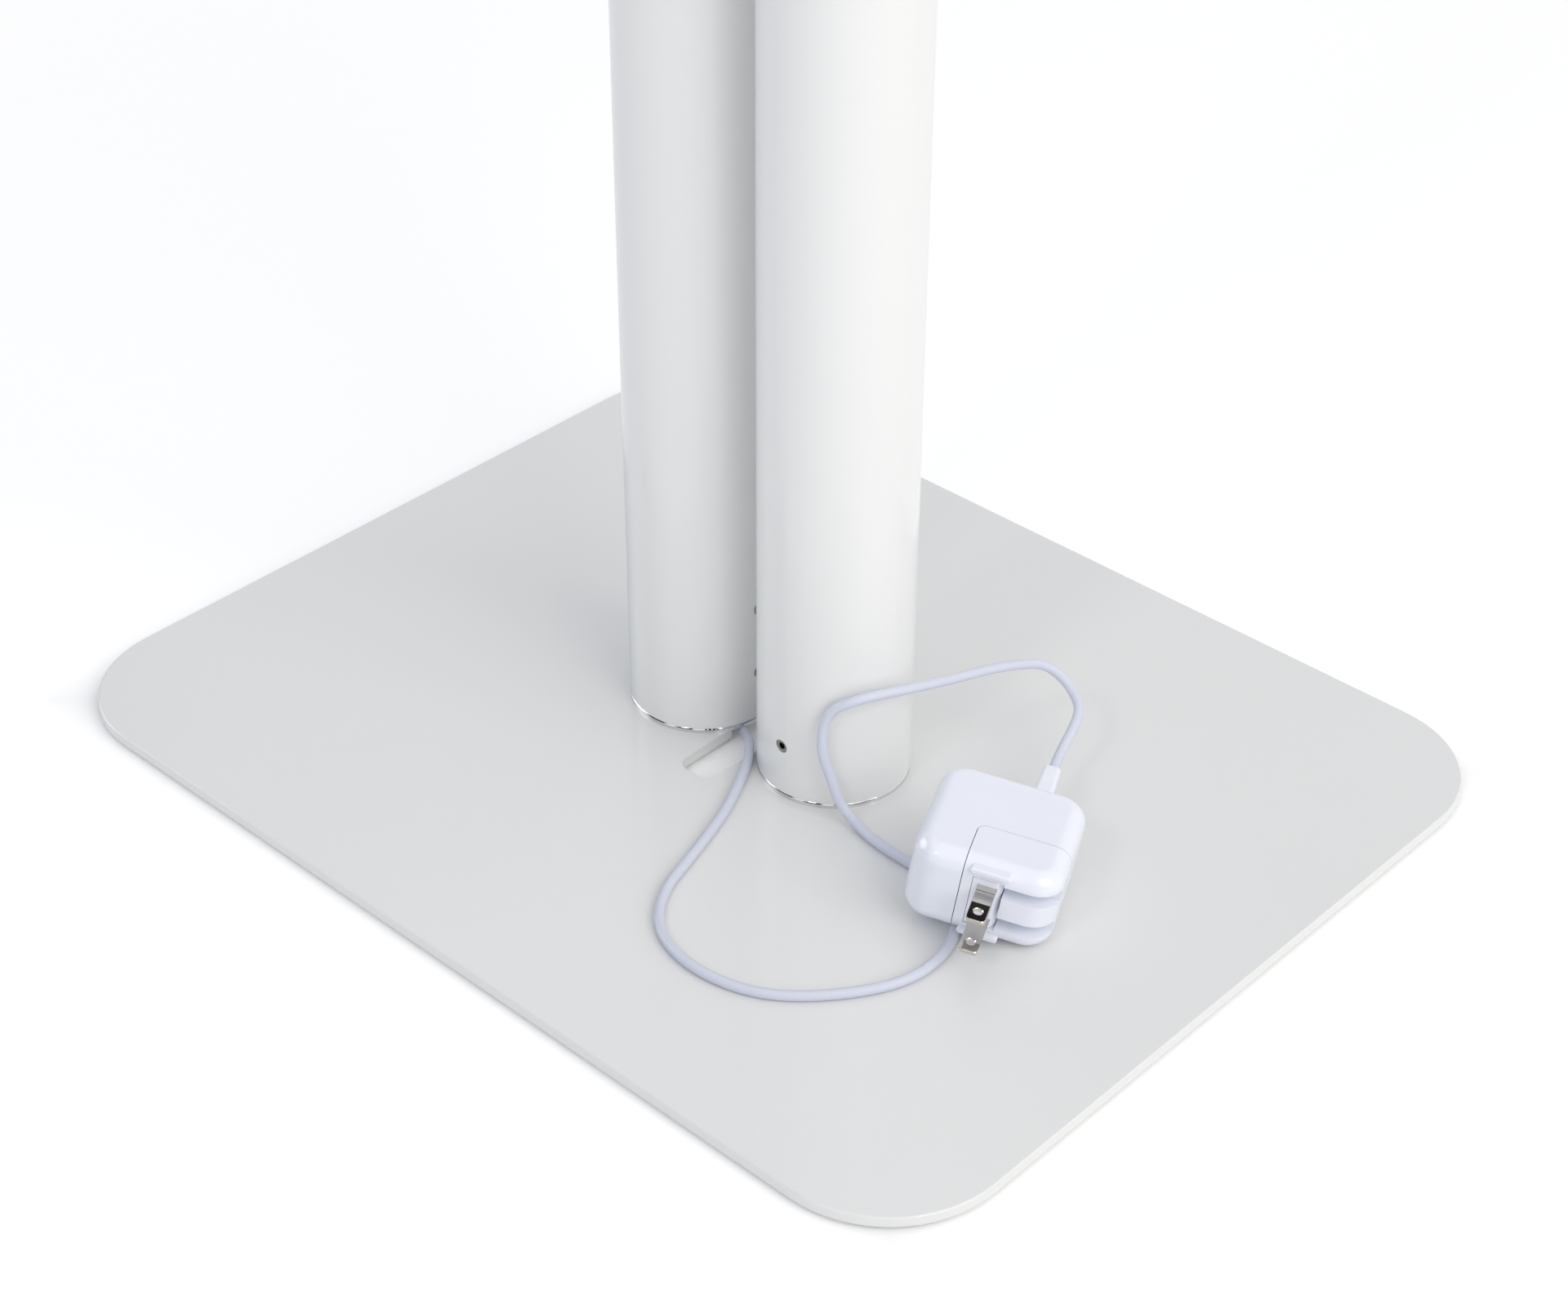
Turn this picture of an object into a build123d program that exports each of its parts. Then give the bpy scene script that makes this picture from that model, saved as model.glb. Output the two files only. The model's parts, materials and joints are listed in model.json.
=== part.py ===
from build123d import *
import os
from math import cos, hypot, pi, radians, sin, tan

os.makedirs("parts", exist_ok=True)

# Adjustable tablet floor stand: a thin steel base plate, two round posts side by
# side, a telescoping mast, a tilting head and a lidded tablet holder, with the
# charging cable run down inside the left post to a mains charger on the plate.
# Frame: origin on the floor under the middle of the plate, X along its long side,
# Y from front to back (the tablet faces -Y), Z up. Millimetres.

# Fits that all pieces share
running_gap = 0.05
part_gap = 0.3
overrun = 1.0
hex_share = 0.56

# Base plate
plate_length = 400.0
plate_width = 317.5
plate_thickness = 4.0
plate_corner_radius = 42.0
plate_edge_round = 0.6
pad_thickness = 1.5
pad_radius = 11.0
pad_inset = 34.0
plate_bottom = pad_thickness
plate_top = plate_bottom + plate_thickness

# Cross-shaped cable cut-out in the plate
slot_width = 15.0
slot_reach = 38.0
slot_corner = 5.0
cross_width = 21.0
cross_overlap = 8.0
cross_corner = 3.0

# Outer posts
post_spacing = 61.5
post_radius = 26.5
post_wall = 2.0
post_length = 640.0
post_axis = post_spacing / 2
post_bore = post_radius - post_wall
sides = (("left", -1), ("right", 1))

# Foot plugs and their screws
rim_height = 1.9
rim_round = 0.9
plug_height = 56.0
plug_bore = 12.0
plug_screw_circle = 18.5
screw_radius = 3.0
screw_head_radius = 5.6
screw_head_height = 2.6
screw_length = 22.0
socket_depth = 2.4
plug_spigot_radius = post_bore - running_gap
post_foot = plate_top + rim_height
post_top = post_foot + post_length
plug_top = post_foot + plug_height
cross_reach = post_axis + cross_overlap

# Set screws in the posts: side, direction in degrees from +X, height over the plate
set_screw_radius = 2.5
set_screw_length = 8.0
set_screw_sink = 0.5
set_screw_places = (("left", 0.0, 20.9), ("left", 0.0, 47.2), ("right", -90.0, 20.9))

# Telescoping mast
inner_radius = 22.0
inner_wall = 2.0
mast_foot_gap = 12.0
glide_height = 12.0
glide_spigot = 10.0
glide_bore = 16.5
inner_bore = inner_radius - inner_wall

# Guide bushes and the yoke that ties the two posts together
bush_length = 40.0
bush_flange = 2.0
yoke_wall = 5.0
yoke_skirt = 24.0
yoke_roof = 24.0
yoke_round = 3.0
yoke_tube_gap = 0.6
yoke_bottom = post_top - yoke_skirt
roof_bottom = post_top + bush_flange
yoke_top = roof_bottom + yoke_roof
yoke_half_depth = post_radius + yoke_wall

# Height clamp: a shoe in front of the inner tubes' gap, drawn back by a knob
shoe_half_width = 14.0
shoe_front = 22.0
shoe_back = 8.0
shoe_height = 14.0
shoe_travel = 2.0
clamp_screw_radius = 4.0
knob_radius = 20.0
knob_width = 15.0
knob_lobe_radius = 5.5
knob_lobes = 6
knob_round = 1.5
boss_radius = 9.0
boss_width = 2.5
knob_cap_radius = 7.5
knob_cap_width = 1.0
clamp_height = roof_bottom + yoke_roof / 2

# Head block on the mast
lowest_gap = 25.0
head_wall = 5.0
head_socket = 26.0
cable_room_height = 18.0
cable_room_margin = 7.0
head_roof = 5.0
head_round = 3.0
head_bottom = yoke_top + lowest_gap
inner_bottom = plug_top + mast_foot_gap + glide_height - glide_spigot
inner_top = head_bottom + head_socket
cable_room_top = inner_top + cable_room_height
head_top = cable_room_top + head_roof
head_half_depth = inner_radius + head_wall

# Tilt joint: two lugs on the head block between the cheeks of a bracket
lug_half_width = 12.0
lug_half_gap = 4.5
lug_radius = 14.0
pivot_height = 24.0
pivot_radius = 4.0
tilt_washer_radius = 12.0
tilt_washer_thickness = 0.9
cheek_thickness = 5.0
cheek_end_radius = 15.0
cheek_half_height = 22.0
bracket_plate_thickness = 6.0
bracket_plate_radius = 34.0
bracket_reach = 36.0
bolt_head_radius = 7.0
bolt_head_height = 5.0
bolt_reach = 5.5
pivot_z = head_top + pivot_height
cheek_inner = lug_half_width + tilt_washer_thickness + 2 * running_gap
cheek_outer = cheek_inner + cheek_thickness

# Turning joint between portrait and landscape
spindle_radius = 9.0
spindle_bore = 6.0
spindle_flange_radius = 26.0
spindle_flange = 3.0
ring_radius = 12.4
ring_width = 2.8
turn_washer_radius = 24.0
turn_washer_thickness = 0.9
hub_screw_circle = 20.0
hub_screw_radius = 2.0
hub_screw_head_radius = 3.6
hub_screw_head_height = 2.0
hub_screws = 4

# Tablet holder
window_width = 212.0
window_height = 159.0
bezel_side_margin = 44.0
bezel_end_margin = 22.5
holder_width = window_width + 2 * bezel_side_margin
holder_height = window_height + 2 * bezel_end_margin
holder_corner = 16.0
holder_depth = 16.0
holder_wall = 2.0
holder_back = 2.5
holder_round = 1.6
tablet_side_room = 23.0
tablet_end_room = 13.0
tablet_width = holder_width - 2 * (holder_wall + tablet_side_room)
tablet_height = holder_height - 2 * (holder_wall + tablet_end_room)
back_pad_width = 60.0
back_pad_height = 30.0
back_pad_thickness = 4.0
back_pad_share = 0.34
back_pad_rise_share = 0.32
stop_share = 0.32
back_pad_x = back_pad_share * tablet_width
back_pad_z = back_pad_rise_share * tablet_height
stop_length = 34.0
stop_depth = 10.0
stop_x = stop_share * tablet_width
stop_z = stop_share * tablet_height
window_corner = 4.0
window_bevel = 0.8
bezel_thickness = 2.5
skirt_thickness = 1.5
skirt_depth = 3.0
skirt_gap = 0.4
gasket_width = 6.0
gasket_thickness = 1.5
hinge_x = 90.0
knuckle_radius = 3.2
knuckle_length = 12.0
side_knuckle_length = 8.0
hinge_pin_radius = 1.5
knuckle_arm = 7.0
magnet_radius = 4.0
magnet_thickness = 2.0
magnet_margin_x = 14.0
magnet_margin_z = 18.0
magnet_boss_wall = 1.2
bracket_front = -bracket_reach
flange_back = bracket_front - turn_washer_thickness - 2 * running_gap
holder_rear = flange_back - spindle_flange
panel_front = holder_rear - holder_back
tray_front = holder_rear - holder_depth
bezel_back = tray_front - part_gap
bezel_front = bezel_back - bezel_thickness
tray_floor_z = pivot_z - holder_height / 2
hinge_z = tray_floor_z - knuckle_radius - part_gap

# Charging cable, and its slack wound up in the left post
cable_radius = 1.75
cable_grommet_wall = 1.2
cable_grommet_flange = 1.6
cable_bend = 11.0
bend_share = 0.45
slack_radius = 14.0
slack_turns = 7
slack_steps = 6
slack_lead = 30.0
foot_cable_top = plug_top - 2.0
head_cable_drop = 3.0
head_cable_over = 3.0
cable_over_tube = 1.0
hub_cable_start = -22.0
hub_cable_end = -33.0
cable_behind_tablet = 1.9
holder_cable_bends = ((60.0, -14.0), (108.0, -34.0))
holder_cable_clearance = 5.68
holder_cable_low = stop_length / 2 + holder_cable_clearance - stop_z
holder_cable_set = 0.9

# Plug at the tablet end of the cable
tablet_plug_inset = 17.0
tablet_plug_x = holder_width / 2 - holder_wall - tablet_plug_inset
tablet_plug_width = 8.0
tablet_plug_depth = 10.6
tablet_plug_gap = 0.5
tablet_plug_round = 0.5
tablet_plug_bottom = -10.0
tablet_plug_length = 16.0
tablet_tip_reach = 7.0
tablet_tip_height = 8.2
tablet_tip_depth = 2.4
tablet_middle = 4.0

# Mains charger, in its own axes: x to the right, y away from the blades, z up
charger_side = 49.0
charger_height = 30.0
charger_corner = 9.5
charger_edge_round = 6.0
charger_wall = 2.0
charger_x = 117.4
charger_y = -18.6
charger_turn = 26.6
charger_lean = 8.0
charger_pitch = -1.0
seam_gap = 0.25

# Plug module in the charger's front right corner
module_left = -6.7
module_back = -5.3
module_corner = 3.0
blade_x = 1.75
blade_pitch = 12.7
blade_width = 6.35
blade_thickness = 1.5
blade_reach = 17.0
blade_hole_radius = 1.5
blade_hole_inset = 4.5
blade_tip_round = 1.2
groove_width = 4.7
groove_depth = 7.5
groove_start = 3.2
carrier_radius = 4.8
carrier_left = 4.95
carrier_depth = 4.1
carrier_flat = 3.9
carrier_half_length = 9.3
carrier_pin_radius = 1.0
carrier_pin_length = 2.0
rib_x = 2.05
rib_width = 13.3
rib_height = 2.2
rib_z = 12.5
rib_proud = 1.3
rib_end_round = 0.95
rib_edge_round = 0.6

# Inside the charger
port_x = 7.8
socket_width = 6.2
socket_height = 13.4
socket_length = 15.0
socket_wall = 0.4
board_thickness = 1.6
board_x = 38.0
board_y = 21.0
board_post_radius = 2.0
board_post_inset = 6.0
board_middle = 10.0
transformer_x = -10.5
transformer_size = (15.0, 16.0, 12.0)
capacitor_x = 16.0
capacitor_y = 6.5
capacitor_radius = 4.5
capacitor_length = 15.0
contact_x = 9.0
contact_radius = 1.4
contact_length = 8.0
tongue_width = 1.6
tongue_height = 10.6
tongue_shift = -0.5
tongue_length = 11.0

# USB plug on the cord
usb_grip_length = 22.5
usb_grip_gap = 0.5
usb_grip_start = (7.2, 12.0)
usb_grip_finish = (5.9, 9.6)
usb_grip_corner = 1.6
usb_shell_width = 4.5
usb_shell_height = 12.0
usb_shell_length = 12.0
usb_shell_wall = 0.4


def post_x(sign):
    """Distance of a post's axis from the middle of the stand, to the left or right."""
    return sign * post_axis


def facing(x, y, z, direction):
    """A plane at a point, its normal level and turned by an angle from +X."""
    turned = radians(direction)
    return Plane(origin=(x, y, z), x_dir=(0, 0, 1), z_dir=(cos(turned), sin(turned), 0))


def looking_front(y, z=pivot_z):
    """A plane whose normal is -Y and whose x runs along +X, on the holder's axis."""
    return Plane(origin=(0, y, z), x_dir=(1, 0, 0), z_dir=(0, -1, 0))


def looking_back(y, z):
    """A plane whose normal is +Y and whose x runs along +X, on the middle line."""
    return Plane(origin=(0, y, z), x_dir=(1, 0, 0), z_dir=(0, 1, 0))


# Base plate: laser-cut steel sheet with a cross-shaped cable cut-out
plug_screw_directions = (0, 90, 270)
plug_screw_places = [
    (
        sign * (post_axis + plug_screw_circle * cos(radians(direction))),
        plug_screw_circle * sin(radians(direction)),
    )
    for _, sign in sides
    for direction in plug_screw_directions
]
with BuildPart() as base_plate:
    with BuildSketch(Plane.XY.offset(plate_bottom)):
        RectangleRounded(plate_length, plate_width, plate_corner_radius)
    extrude(amount=plate_thickness)
    fillet(base_plate.faces().sort_by(Axis.Z)[-1].outer_wire().edges(), plate_edge_round)
    fillet(base_plate.faces().sort_by(Axis.Z)[0].outer_wire().edges(), plate_edge_round)
    with BuildSketch(Plane.XY.offset(plate_bottom)):
        RectangleRounded(slot_width, 2 * slot_reach, slot_corner)
        RectangleRounded(2 * cross_reach, cross_width, cross_corner)
    extrude(amount=plate_thickness, mode=Mode.SUBTRACT)
    with Locations(
        *[Plane(origin=(x, y, plate_bottom), z_dir=(0, 0, -1)) for x, y in plug_screw_places]
    ):
        CounterSinkHole(
            radius=screw_radius + part_gap,
            counter_sink_radius=screw_head_radius + part_gap,
            depth=plate_thickness,
        )
base_plate.part.label = "base_plate"
export_step(base_plate.part, "parts/base_plate.step")

# Six rubber pads under the plate
with BuildPart() as foot_pads:
    with BuildSketch():
        with GridLocations(plate_length / 2 - pad_inset, plate_width - 2 * pad_inset, 3, 2):
            Circle(pad_radius)
    extrude(amount=pad_thickness)
foot_pads.part.label = "foot_pads"
export_step(foot_pads.part, "parts/foot_pads.step")

# Countersunk screws that hold the posts from below
with BuildPart() as plug_screws:
    for x, y in plug_screw_places:
        with BuildSketch(Plane(origin=(x, y, 0), x_dir=(1, 0, 0), z_dir=(0, -1, 0))):
            with BuildLine():
                Polyline(
                    (0, plate_bottom + part_gap),
                    (screw_head_radius, plate_bottom + part_gap),
                    (screw_radius - running_gap, plate_bottom + part_gap + screw_head_height),
                    (screw_radius - running_gap, plate_bottom + screw_length),
                    (0, plate_bottom + screw_length),
                    close=True,
                )
            make_face()
        revolve(axis=Axis((x, y, 0), (0, 0, 1)))
        with BuildSketch(Plane.XY.offset(plate_bottom + part_gap)):
            with Locations((x, y)):
                RegularPolygon(screw_radius * hex_share, 6)
        extrude(amount=socket_depth, mode=Mode.SUBTRACT)
plug_screws.part.label = "plug_screws"
export_step(plug_screws.part, "parts/plug_screws.step")

# Foot plugs and outer posts: turned aluminium plugs whose polished rims show below the tubes
for side, sign in sides:
    places = [(turn, height) for name, turn, height in set_screw_places if name == side]
    with BuildPart() as post_plug:
        with Locations((post_x(sign), 0, plate_top)):
            Cylinder(post_radius, rim_height, align=(Align.CENTER, Align.CENTER, Align.MIN))
        fillet(post_plug.edges().filter_by(GeomType.CIRCLE).sort_by(Axis.Z)[-1], rim_round)
        with Locations((post_x(sign), 0, post_foot)):
            Cylinder(
                plug_spigot_radius, plug_height, align=(Align.CENTER, Align.CENTER, Align.MIN)
            )
        with Locations((post_x(sign), 0, plate_top)):
            Hole(plug_bore)
        with Locations(
            *[
                Plane(origin=(x, y, plate_top), z_dir=(0, 0, -1))
                for x, y in plug_screw_places
                if x * sign > 0
            ]
        ):
            Hole(screw_radius, depth=screw_length)
        for turn, height in places:
            with Locations(facing(post_x(sign), 0, plate_top + height, turn)):
                Cylinder(
                    set_screw_radius,
                    post_radius,
                    align=(Align.CENTER, Align.CENTER, Align.MIN),
                    mode=Mode.SUBTRACT,
                )
    post_plug.part.label = f"{side}_post_plug"
    export_step(post_plug.part, f"parts/{side}_post_plug.step")

    with BuildPart() as post_tube:
        with BuildSketch(Plane.XY.offset(post_foot)):
            with Locations((post_x(sign), 0)):
                Circle(post_radius)
                Circle(post_bore, mode=Mode.SUBTRACT)
        extrude(amount=post_length)
        for turn, height in places:
            with Locations(facing(post_x(sign), 0, plate_top + height, turn)):
                Cylinder(
                    set_screw_radius,
                    post_radius + overrun,
                    align=(Align.CENTER, Align.CENTER, Align.MIN),
                    mode=Mode.SUBTRACT,
                )
    post_tube.part.label = f"{side}_post_tube"
    export_step(post_tube.part, f"parts/{side}_post_tube.step")

# Hex-socket set screws that lock the plugs in the posts
with BuildPart() as post_set_screws:
    for side, sign in sides:
        for name, turn, height in set_screw_places:
            if name == side:
                outside = facing(post_x(sign), 0, plate_top + height, turn).offset(
                    post_radius - set_screw_sink
                )
                with Locations(outside):
                    Cylinder(
                        set_screw_radius - running_gap,
                        set_screw_length,
                        align=(Align.CENTER, Align.CENTER, Align.MAX),
                    )
                with BuildSketch(outside):
                    RegularPolygon(set_screw_radius * hex_share, 6)
                extrude(amount=-socket_depth, mode=Mode.SUBTRACT)
post_set_screws.part.label = "post_set_screws"
export_step(post_set_screws.part, "parts/post_set_screws.step")

# Guide bushes: flanged plastic sleeves in the tops of the posts
for side, sign in sides:
    with BuildPart() as guide_bush:
        with BuildSketch(Plane.XY.offset(post_top - bush_length)):
            with Locations((post_x(sign), 0)):
                Circle(post_bore - running_gap)
        extrude(amount=bush_length)
        with BuildSketch(Plane.XY.offset(post_top)):
            with Locations((post_x(sign), 0)):
                Circle(post_radius)
        extrude(amount=bush_flange)
        with Locations((post_x(sign), 0, post_top)):
            Hole(inner_radius + running_gap)
    guide_bush.part.label = f"{side}_guide_bush"
    export_step(guide_bush.part, f"parts/{side}_guide_bush.step")

# Yoke: a cast cap over both post tops, with a closed pocket for the clamp shoe
with BuildPart() as post_yoke:
    with BuildSketch(Plane.XY.offset(yoke_bottom)):
        SlotCenterToCenter(post_spacing, 2 * yoke_half_depth)
    extrude(amount=yoke_top - yoke_bottom)
    fillet(post_yoke.faces().sort_by(Axis.Z)[-1].edges(), yoke_round)
    fillet(post_yoke.faces().sort_by(Axis.Z)[0].edges(), yoke_round / 3)
    with BuildSketch(Plane.XY.offset(yoke_bottom)):
        with GridLocations(post_spacing, 0, 2, 1):
            Circle(post_radius + running_gap)
    extrude(amount=roof_bottom - yoke_bottom, mode=Mode.SUBTRACT)
    with BuildSketch(Plane.XY.offset(roof_bottom)):
        with GridLocations(post_spacing, 0, 2, 1):
            Circle(inner_radius + yoke_tube_gap)
    extrude(amount=yoke_roof, mode=Mode.SUBTRACT)
    with BuildSketch(Plane.XY.offset(clamp_height - shoe_height / 2 - part_gap)):
        with Locations((0, -shoe_front - shoe_travel - part_gap)):
            Rectangle(
                2 * (shoe_half_width + part_gap),
                shoe_front - shoe_back + shoe_travel + 2 * part_gap,
                align=(Align.CENTER, Align.MIN),
            )
    extrude(amount=shoe_height + 2 * part_gap, mode=Mode.SUBTRACT)
    with Locations(looking_back(-shoe_back, clamp_height)):
        Cylinder(
            clamp_screw_radius + running_gap,
            2 * yoke_half_depth,
            align=(Align.CENTER, Align.CENTER, Align.MIN),
            mode=Mode.SUBTRACT,
        )
    with Locations(
        *[facing(post_x(sign), 0, yoke_bottom + yoke_skirt / 2, 90) for _, sign in sides]
    ):
        Cylinder(
            set_screw_radius,
            yoke_half_depth + overrun,
            align=(Align.CENTER, Align.CENTER, Align.MIN),
            mode=Mode.SUBTRACT,
        )
post_yoke.part.label = "post_yoke"
export_step(post_yoke.part, "parts/post_yoke.step")

with BuildPart() as yoke_set_screws:
    for side, sign in sides:
        outside = facing(post_x(sign), 0, yoke_bottom + yoke_skirt / 2, 90).offset(
            yoke_half_depth - set_screw_sink
        )
        with Locations(outside):
            Cylinder(
                set_screw_radius - running_gap,
                yoke_wall - set_screw_sink,
                align=(Align.CENTER, Align.CENTER, Align.MAX),
            )
        with BuildSketch(outside):
            RegularPolygon(set_screw_radius * hex_share, 6)
        extrude(amount=-socket_depth, mode=Mode.SUBTRACT)
yoke_set_screws.part.label = "yoke_set_screws"
export_step(yoke_set_screws.part, "parts/yoke_set_screws.step")

# Clamp shoe: hollowed on both sides to the inner tubes, tapped for the clamp screw
with BuildPart() as clamp_shoe:
    with BuildSketch(Plane.XY.offset(clamp_height - shoe_height / 2)):
        with Locations((0, -shoe_back)):
            Rectangle(
                2 * shoe_half_width, shoe_front - shoe_back, align=(Align.CENTER, Align.MAX)
            )
        with GridLocations(post_spacing, 0, 2, 1):
            Circle(inner_radius + running_gap, mode=Mode.SUBTRACT)
    extrude(amount=shoe_height)
    with Locations(looking_back(-shoe_front, clamp_height)):
        Cylinder(clamp_screw_radius + running_gap, 2 * shoe_front, mode=Mode.SUBTRACT)
clamp_shoe.part.label = "clamp_shoe"
export_step(clamp_shoe.part, "parts/clamp_shoe.step")

# Clamp screw through the shoe, and the lobed knob on its end
boss_front = yoke_half_depth + part_gap
knob_front = boss_front + boss_width
with BuildPart() as height_screw:
    with Locations(looking_back(-shoe_front, clamp_height)):
        Cylinder(
            clamp_screw_radius,
            knob_front + knob_width / 2 + shoe_front,
            align=(Align.CENTER, Align.CENTER, Align.MIN),
        )
height_screw.part.label = "height_screw"
export_step(height_screw.part, "parts/height_screw.step")


def lobed_outline():
    """Outline of a hand knob: a disc with finger lobes round it."""
    with BuildSketch() as outline:
        Circle(knob_radius - knob_lobe_radius / 2)
        with PolarLocations(knob_radius - knob_lobe_radius, knob_lobes):
            Circle(knob_lobe_radius)
    return outline.sketch


with BuildPart() as height_knob:
    with BuildSketch(looking_back(knob_front, clamp_height)):
        add(lobed_outline())
    extrude(amount=knob_width)
    fillet(height_knob.faces().sort_by(Axis.Y)[-1].edges(), knob_round)
    fillet(height_knob.faces().sort_by(Axis.Y)[0].edges(), knob_round / 2)
    with BuildSketch(looking_back(boss_front, clamp_height)):
        Circle(boss_radius)
    extrude(amount=boss_width)
    with BuildSketch(looking_back(knob_front + knob_width, clamp_height)):
        Circle(knob_cap_radius)
    extrude(amount=knob_cap_width)
    with BuildSketch(looking_back(boss_front, clamp_height)):
        Circle(clamp_screw_radius)
    extrude(amount=boss_width + knob_width / 2, mode=Mode.SUBTRACT)
height_knob.part.label = "height_knob"
export_step(height_knob.part, "parts/height_knob.step")

# Inner tubes of the mast, and the plastic glides on their lower ends
for side, sign in sides:
    with BuildPart() as inner_tube:
        with BuildSketch(Plane.XY.offset(inner_bottom)):
            with Locations((post_x(sign), 0)):
                Circle(inner_radius)
                Circle(inner_bore, mode=Mode.SUBTRACT)
        extrude(amount=inner_top - inner_bottom)
    inner_tube.part.label = f"{side}_inner_tube"
    export_step(inner_tube.part, f"parts/{side}_inner_tube.step")

    with BuildPart() as glide:
        with BuildSketch(Plane.XY.offset(inner_bottom - glide_height + glide_spigot)):
            with Locations((post_x(sign), 0)):
                Circle(post_bore - running_gap)
        extrude(amount=glide_height - glide_spigot)
        with BuildSketch(Plane.XY.offset(inner_bottom)):
            with Locations((post_x(sign), 0)):
                Circle(inner_bore - running_gap)
        extrude(amount=glide_spigot)
        with Locations((post_x(sign), 0, inner_bottom)):
            Hole(glide_bore)
    glide.part.label = f"{side}_glide"
    export_step(glide.part, f"parts/{side}_glide.step")

# Head block: joins the inner tubes, carries the tilt lugs and passes the cable between them
cable_hole_radius = cable_radius + cable_grommet_wall + running_gap
with BuildPart() as head_block:
    with BuildSketch(Plane.XY.offset(head_bottom)):
        SlotCenterToCenter(post_spacing, 2 * head_half_depth)
    extrude(amount=head_top - head_bottom)
    fillet(head_block.faces().sort_by(Axis.Z)[-1].edges(), head_round)
    fillet(head_block.faces().sort_by(Axis.Z)[0].edges(), head_round / 3)
    for sign in (-1, 1):
        with BuildSketch(Plane.YZ.offset(sign * lug_half_gap)):
            with Locations((0, pivot_z)):
                Circle(lug_radius)
            with Locations((0, head_top - overrun)):
                Rectangle(
                    2 * lug_radius, pivot_height + overrun, align=(Align.CENTER, Align.MIN)
                )
            with Locations((0, pivot_z)):
                Circle(pivot_radius + running_gap, mode=Mode.SUBTRACT)
        extrude(amount=sign * (lug_half_width - lug_half_gap))
    with BuildSketch(Plane.XY.offset(head_bottom)):
        with GridLocations(post_spacing, 0, 2, 1):
            Circle(inner_radius + running_gap)
    extrude(amount=head_socket, mode=Mode.SUBTRACT)
    with BuildSketch(Plane.XY.offset(inner_top)):
        with Locations((-post_axis - cable_room_margin, 0)):
            Rectangle(
                post_axis + 2 * cable_room_margin,
                2 * cable_room_margin,
                align=(Align.MIN, Align.CENTER),
            )
    extrude(amount=cable_room_height, mode=Mode.SUBTRACT)
    with BuildSketch(Plane.XY.offset(cable_room_top)):
        Circle(cable_hole_radius)
    extrude(amount=head_roof, mode=Mode.SUBTRACT)
    with Locations(
        *[facing(post_x(sign), 0, head_bottom + head_socket / 2, 90) for _, sign in sides]
    ):
        Cylinder(
            set_screw_radius,
            head_half_depth + overrun,
            align=(Align.CENTER, Align.CENTER, Align.MIN),
            mode=Mode.SUBTRACT,
        )
head_block.part.label = "head_block"
export_step(head_block.part, "parts/head_block.step")

# Rubber grommet where the cable leaves the head block
with BuildPart() as head_grommet:
    with BuildSketch(Plane.XY.offset(cable_room_top)):
        Circle(cable_hole_radius - running_gap)
    extrude(amount=head_roof)
    with BuildSketch(Plane.XY.offset(head_top)):
        Circle(cable_hole_radius + running_gap)
    extrude(amount=cable_grommet_flange)
    with Locations((0, 0, head_top)):
        Hole(cable_radius)
head_grommet.part.label = "head_grommet"
export_step(head_grommet.part, "parts/head_grommet.step")

# Set screws that hold the head block on the inner tubes
with BuildPart() as head_set_screws:
    for side, sign in sides:
        outside = facing(post_x(sign), 0, head_bottom + head_socket / 2, 90).offset(
            head_half_depth - set_screw_sink
        )
        with Locations(outside):
            Cylinder(
                set_screw_radius - running_gap,
                head_wall - set_screw_sink - running_gap,
                align=(Align.CENTER, Align.CENTER, Align.MAX),
            )
        with BuildSketch(outside):
            RegularPolygon(set_screw_radius * hex_share, 6)
        extrude(amount=-socket_depth, mode=Mode.SUBTRACT)
head_set_screws.part.label = "head_set_screws"
export_step(head_set_screws.part, "parts/head_set_screws.step")

# Tilt bracket: two cheeks and a round front plate, turning on the head block's lugs
with BuildPart() as tilt_bracket:
    for sign in (-1, 1):
        with BuildSketch(Plane.YZ.offset(sign * cheek_inner)):
            with Locations((0, pivot_z)):
                Circle(cheek_end_radius)
            with Locations((bracket_front, pivot_z)):
                Rectangle(
                    bracket_plate_thickness,
                    2 * cheek_half_height,
                    align=(Align.MIN, Align.CENTER),
                )
            make_hull()
            with Locations((0, pivot_z)):
                Circle(pivot_radius + running_gap, mode=Mode.SUBTRACT)
        extrude(amount=sign * cheek_thickness)
    with BuildSketch(looking_front(bracket_front)):
        Circle(bracket_plate_radius)
    extrude(amount=-bracket_plate_thickness)
    with BuildSketch(looking_front(bracket_front)):
        Circle(spindle_radius + running_gap)
    extrude(amount=-bracket_plate_thickness, mode=Mode.SUBTRACT)
tilt_bracket.part.label = "tilt_bracket"
export_step(tilt_bracket.part, "parts/tilt_bracket.step")

# Nylon washers between the lugs and the cheeks
with BuildPart() as tilt_washers:
    for sign in (-1, 1):
        with BuildSketch(Plane.YZ.offset(sign * (lug_half_width + running_gap))):
            with Locations((0, pivot_z)):
                Circle(tilt_washer_radius)
                Circle(pivot_radius + running_gap, mode=Mode.SUBTRACT)
        extrude(amount=sign * tilt_washer_thickness)
tilt_washers.part.label = "tilt_washers"
export_step(tilt_washers.part, "parts/tilt_washers.step")

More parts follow.
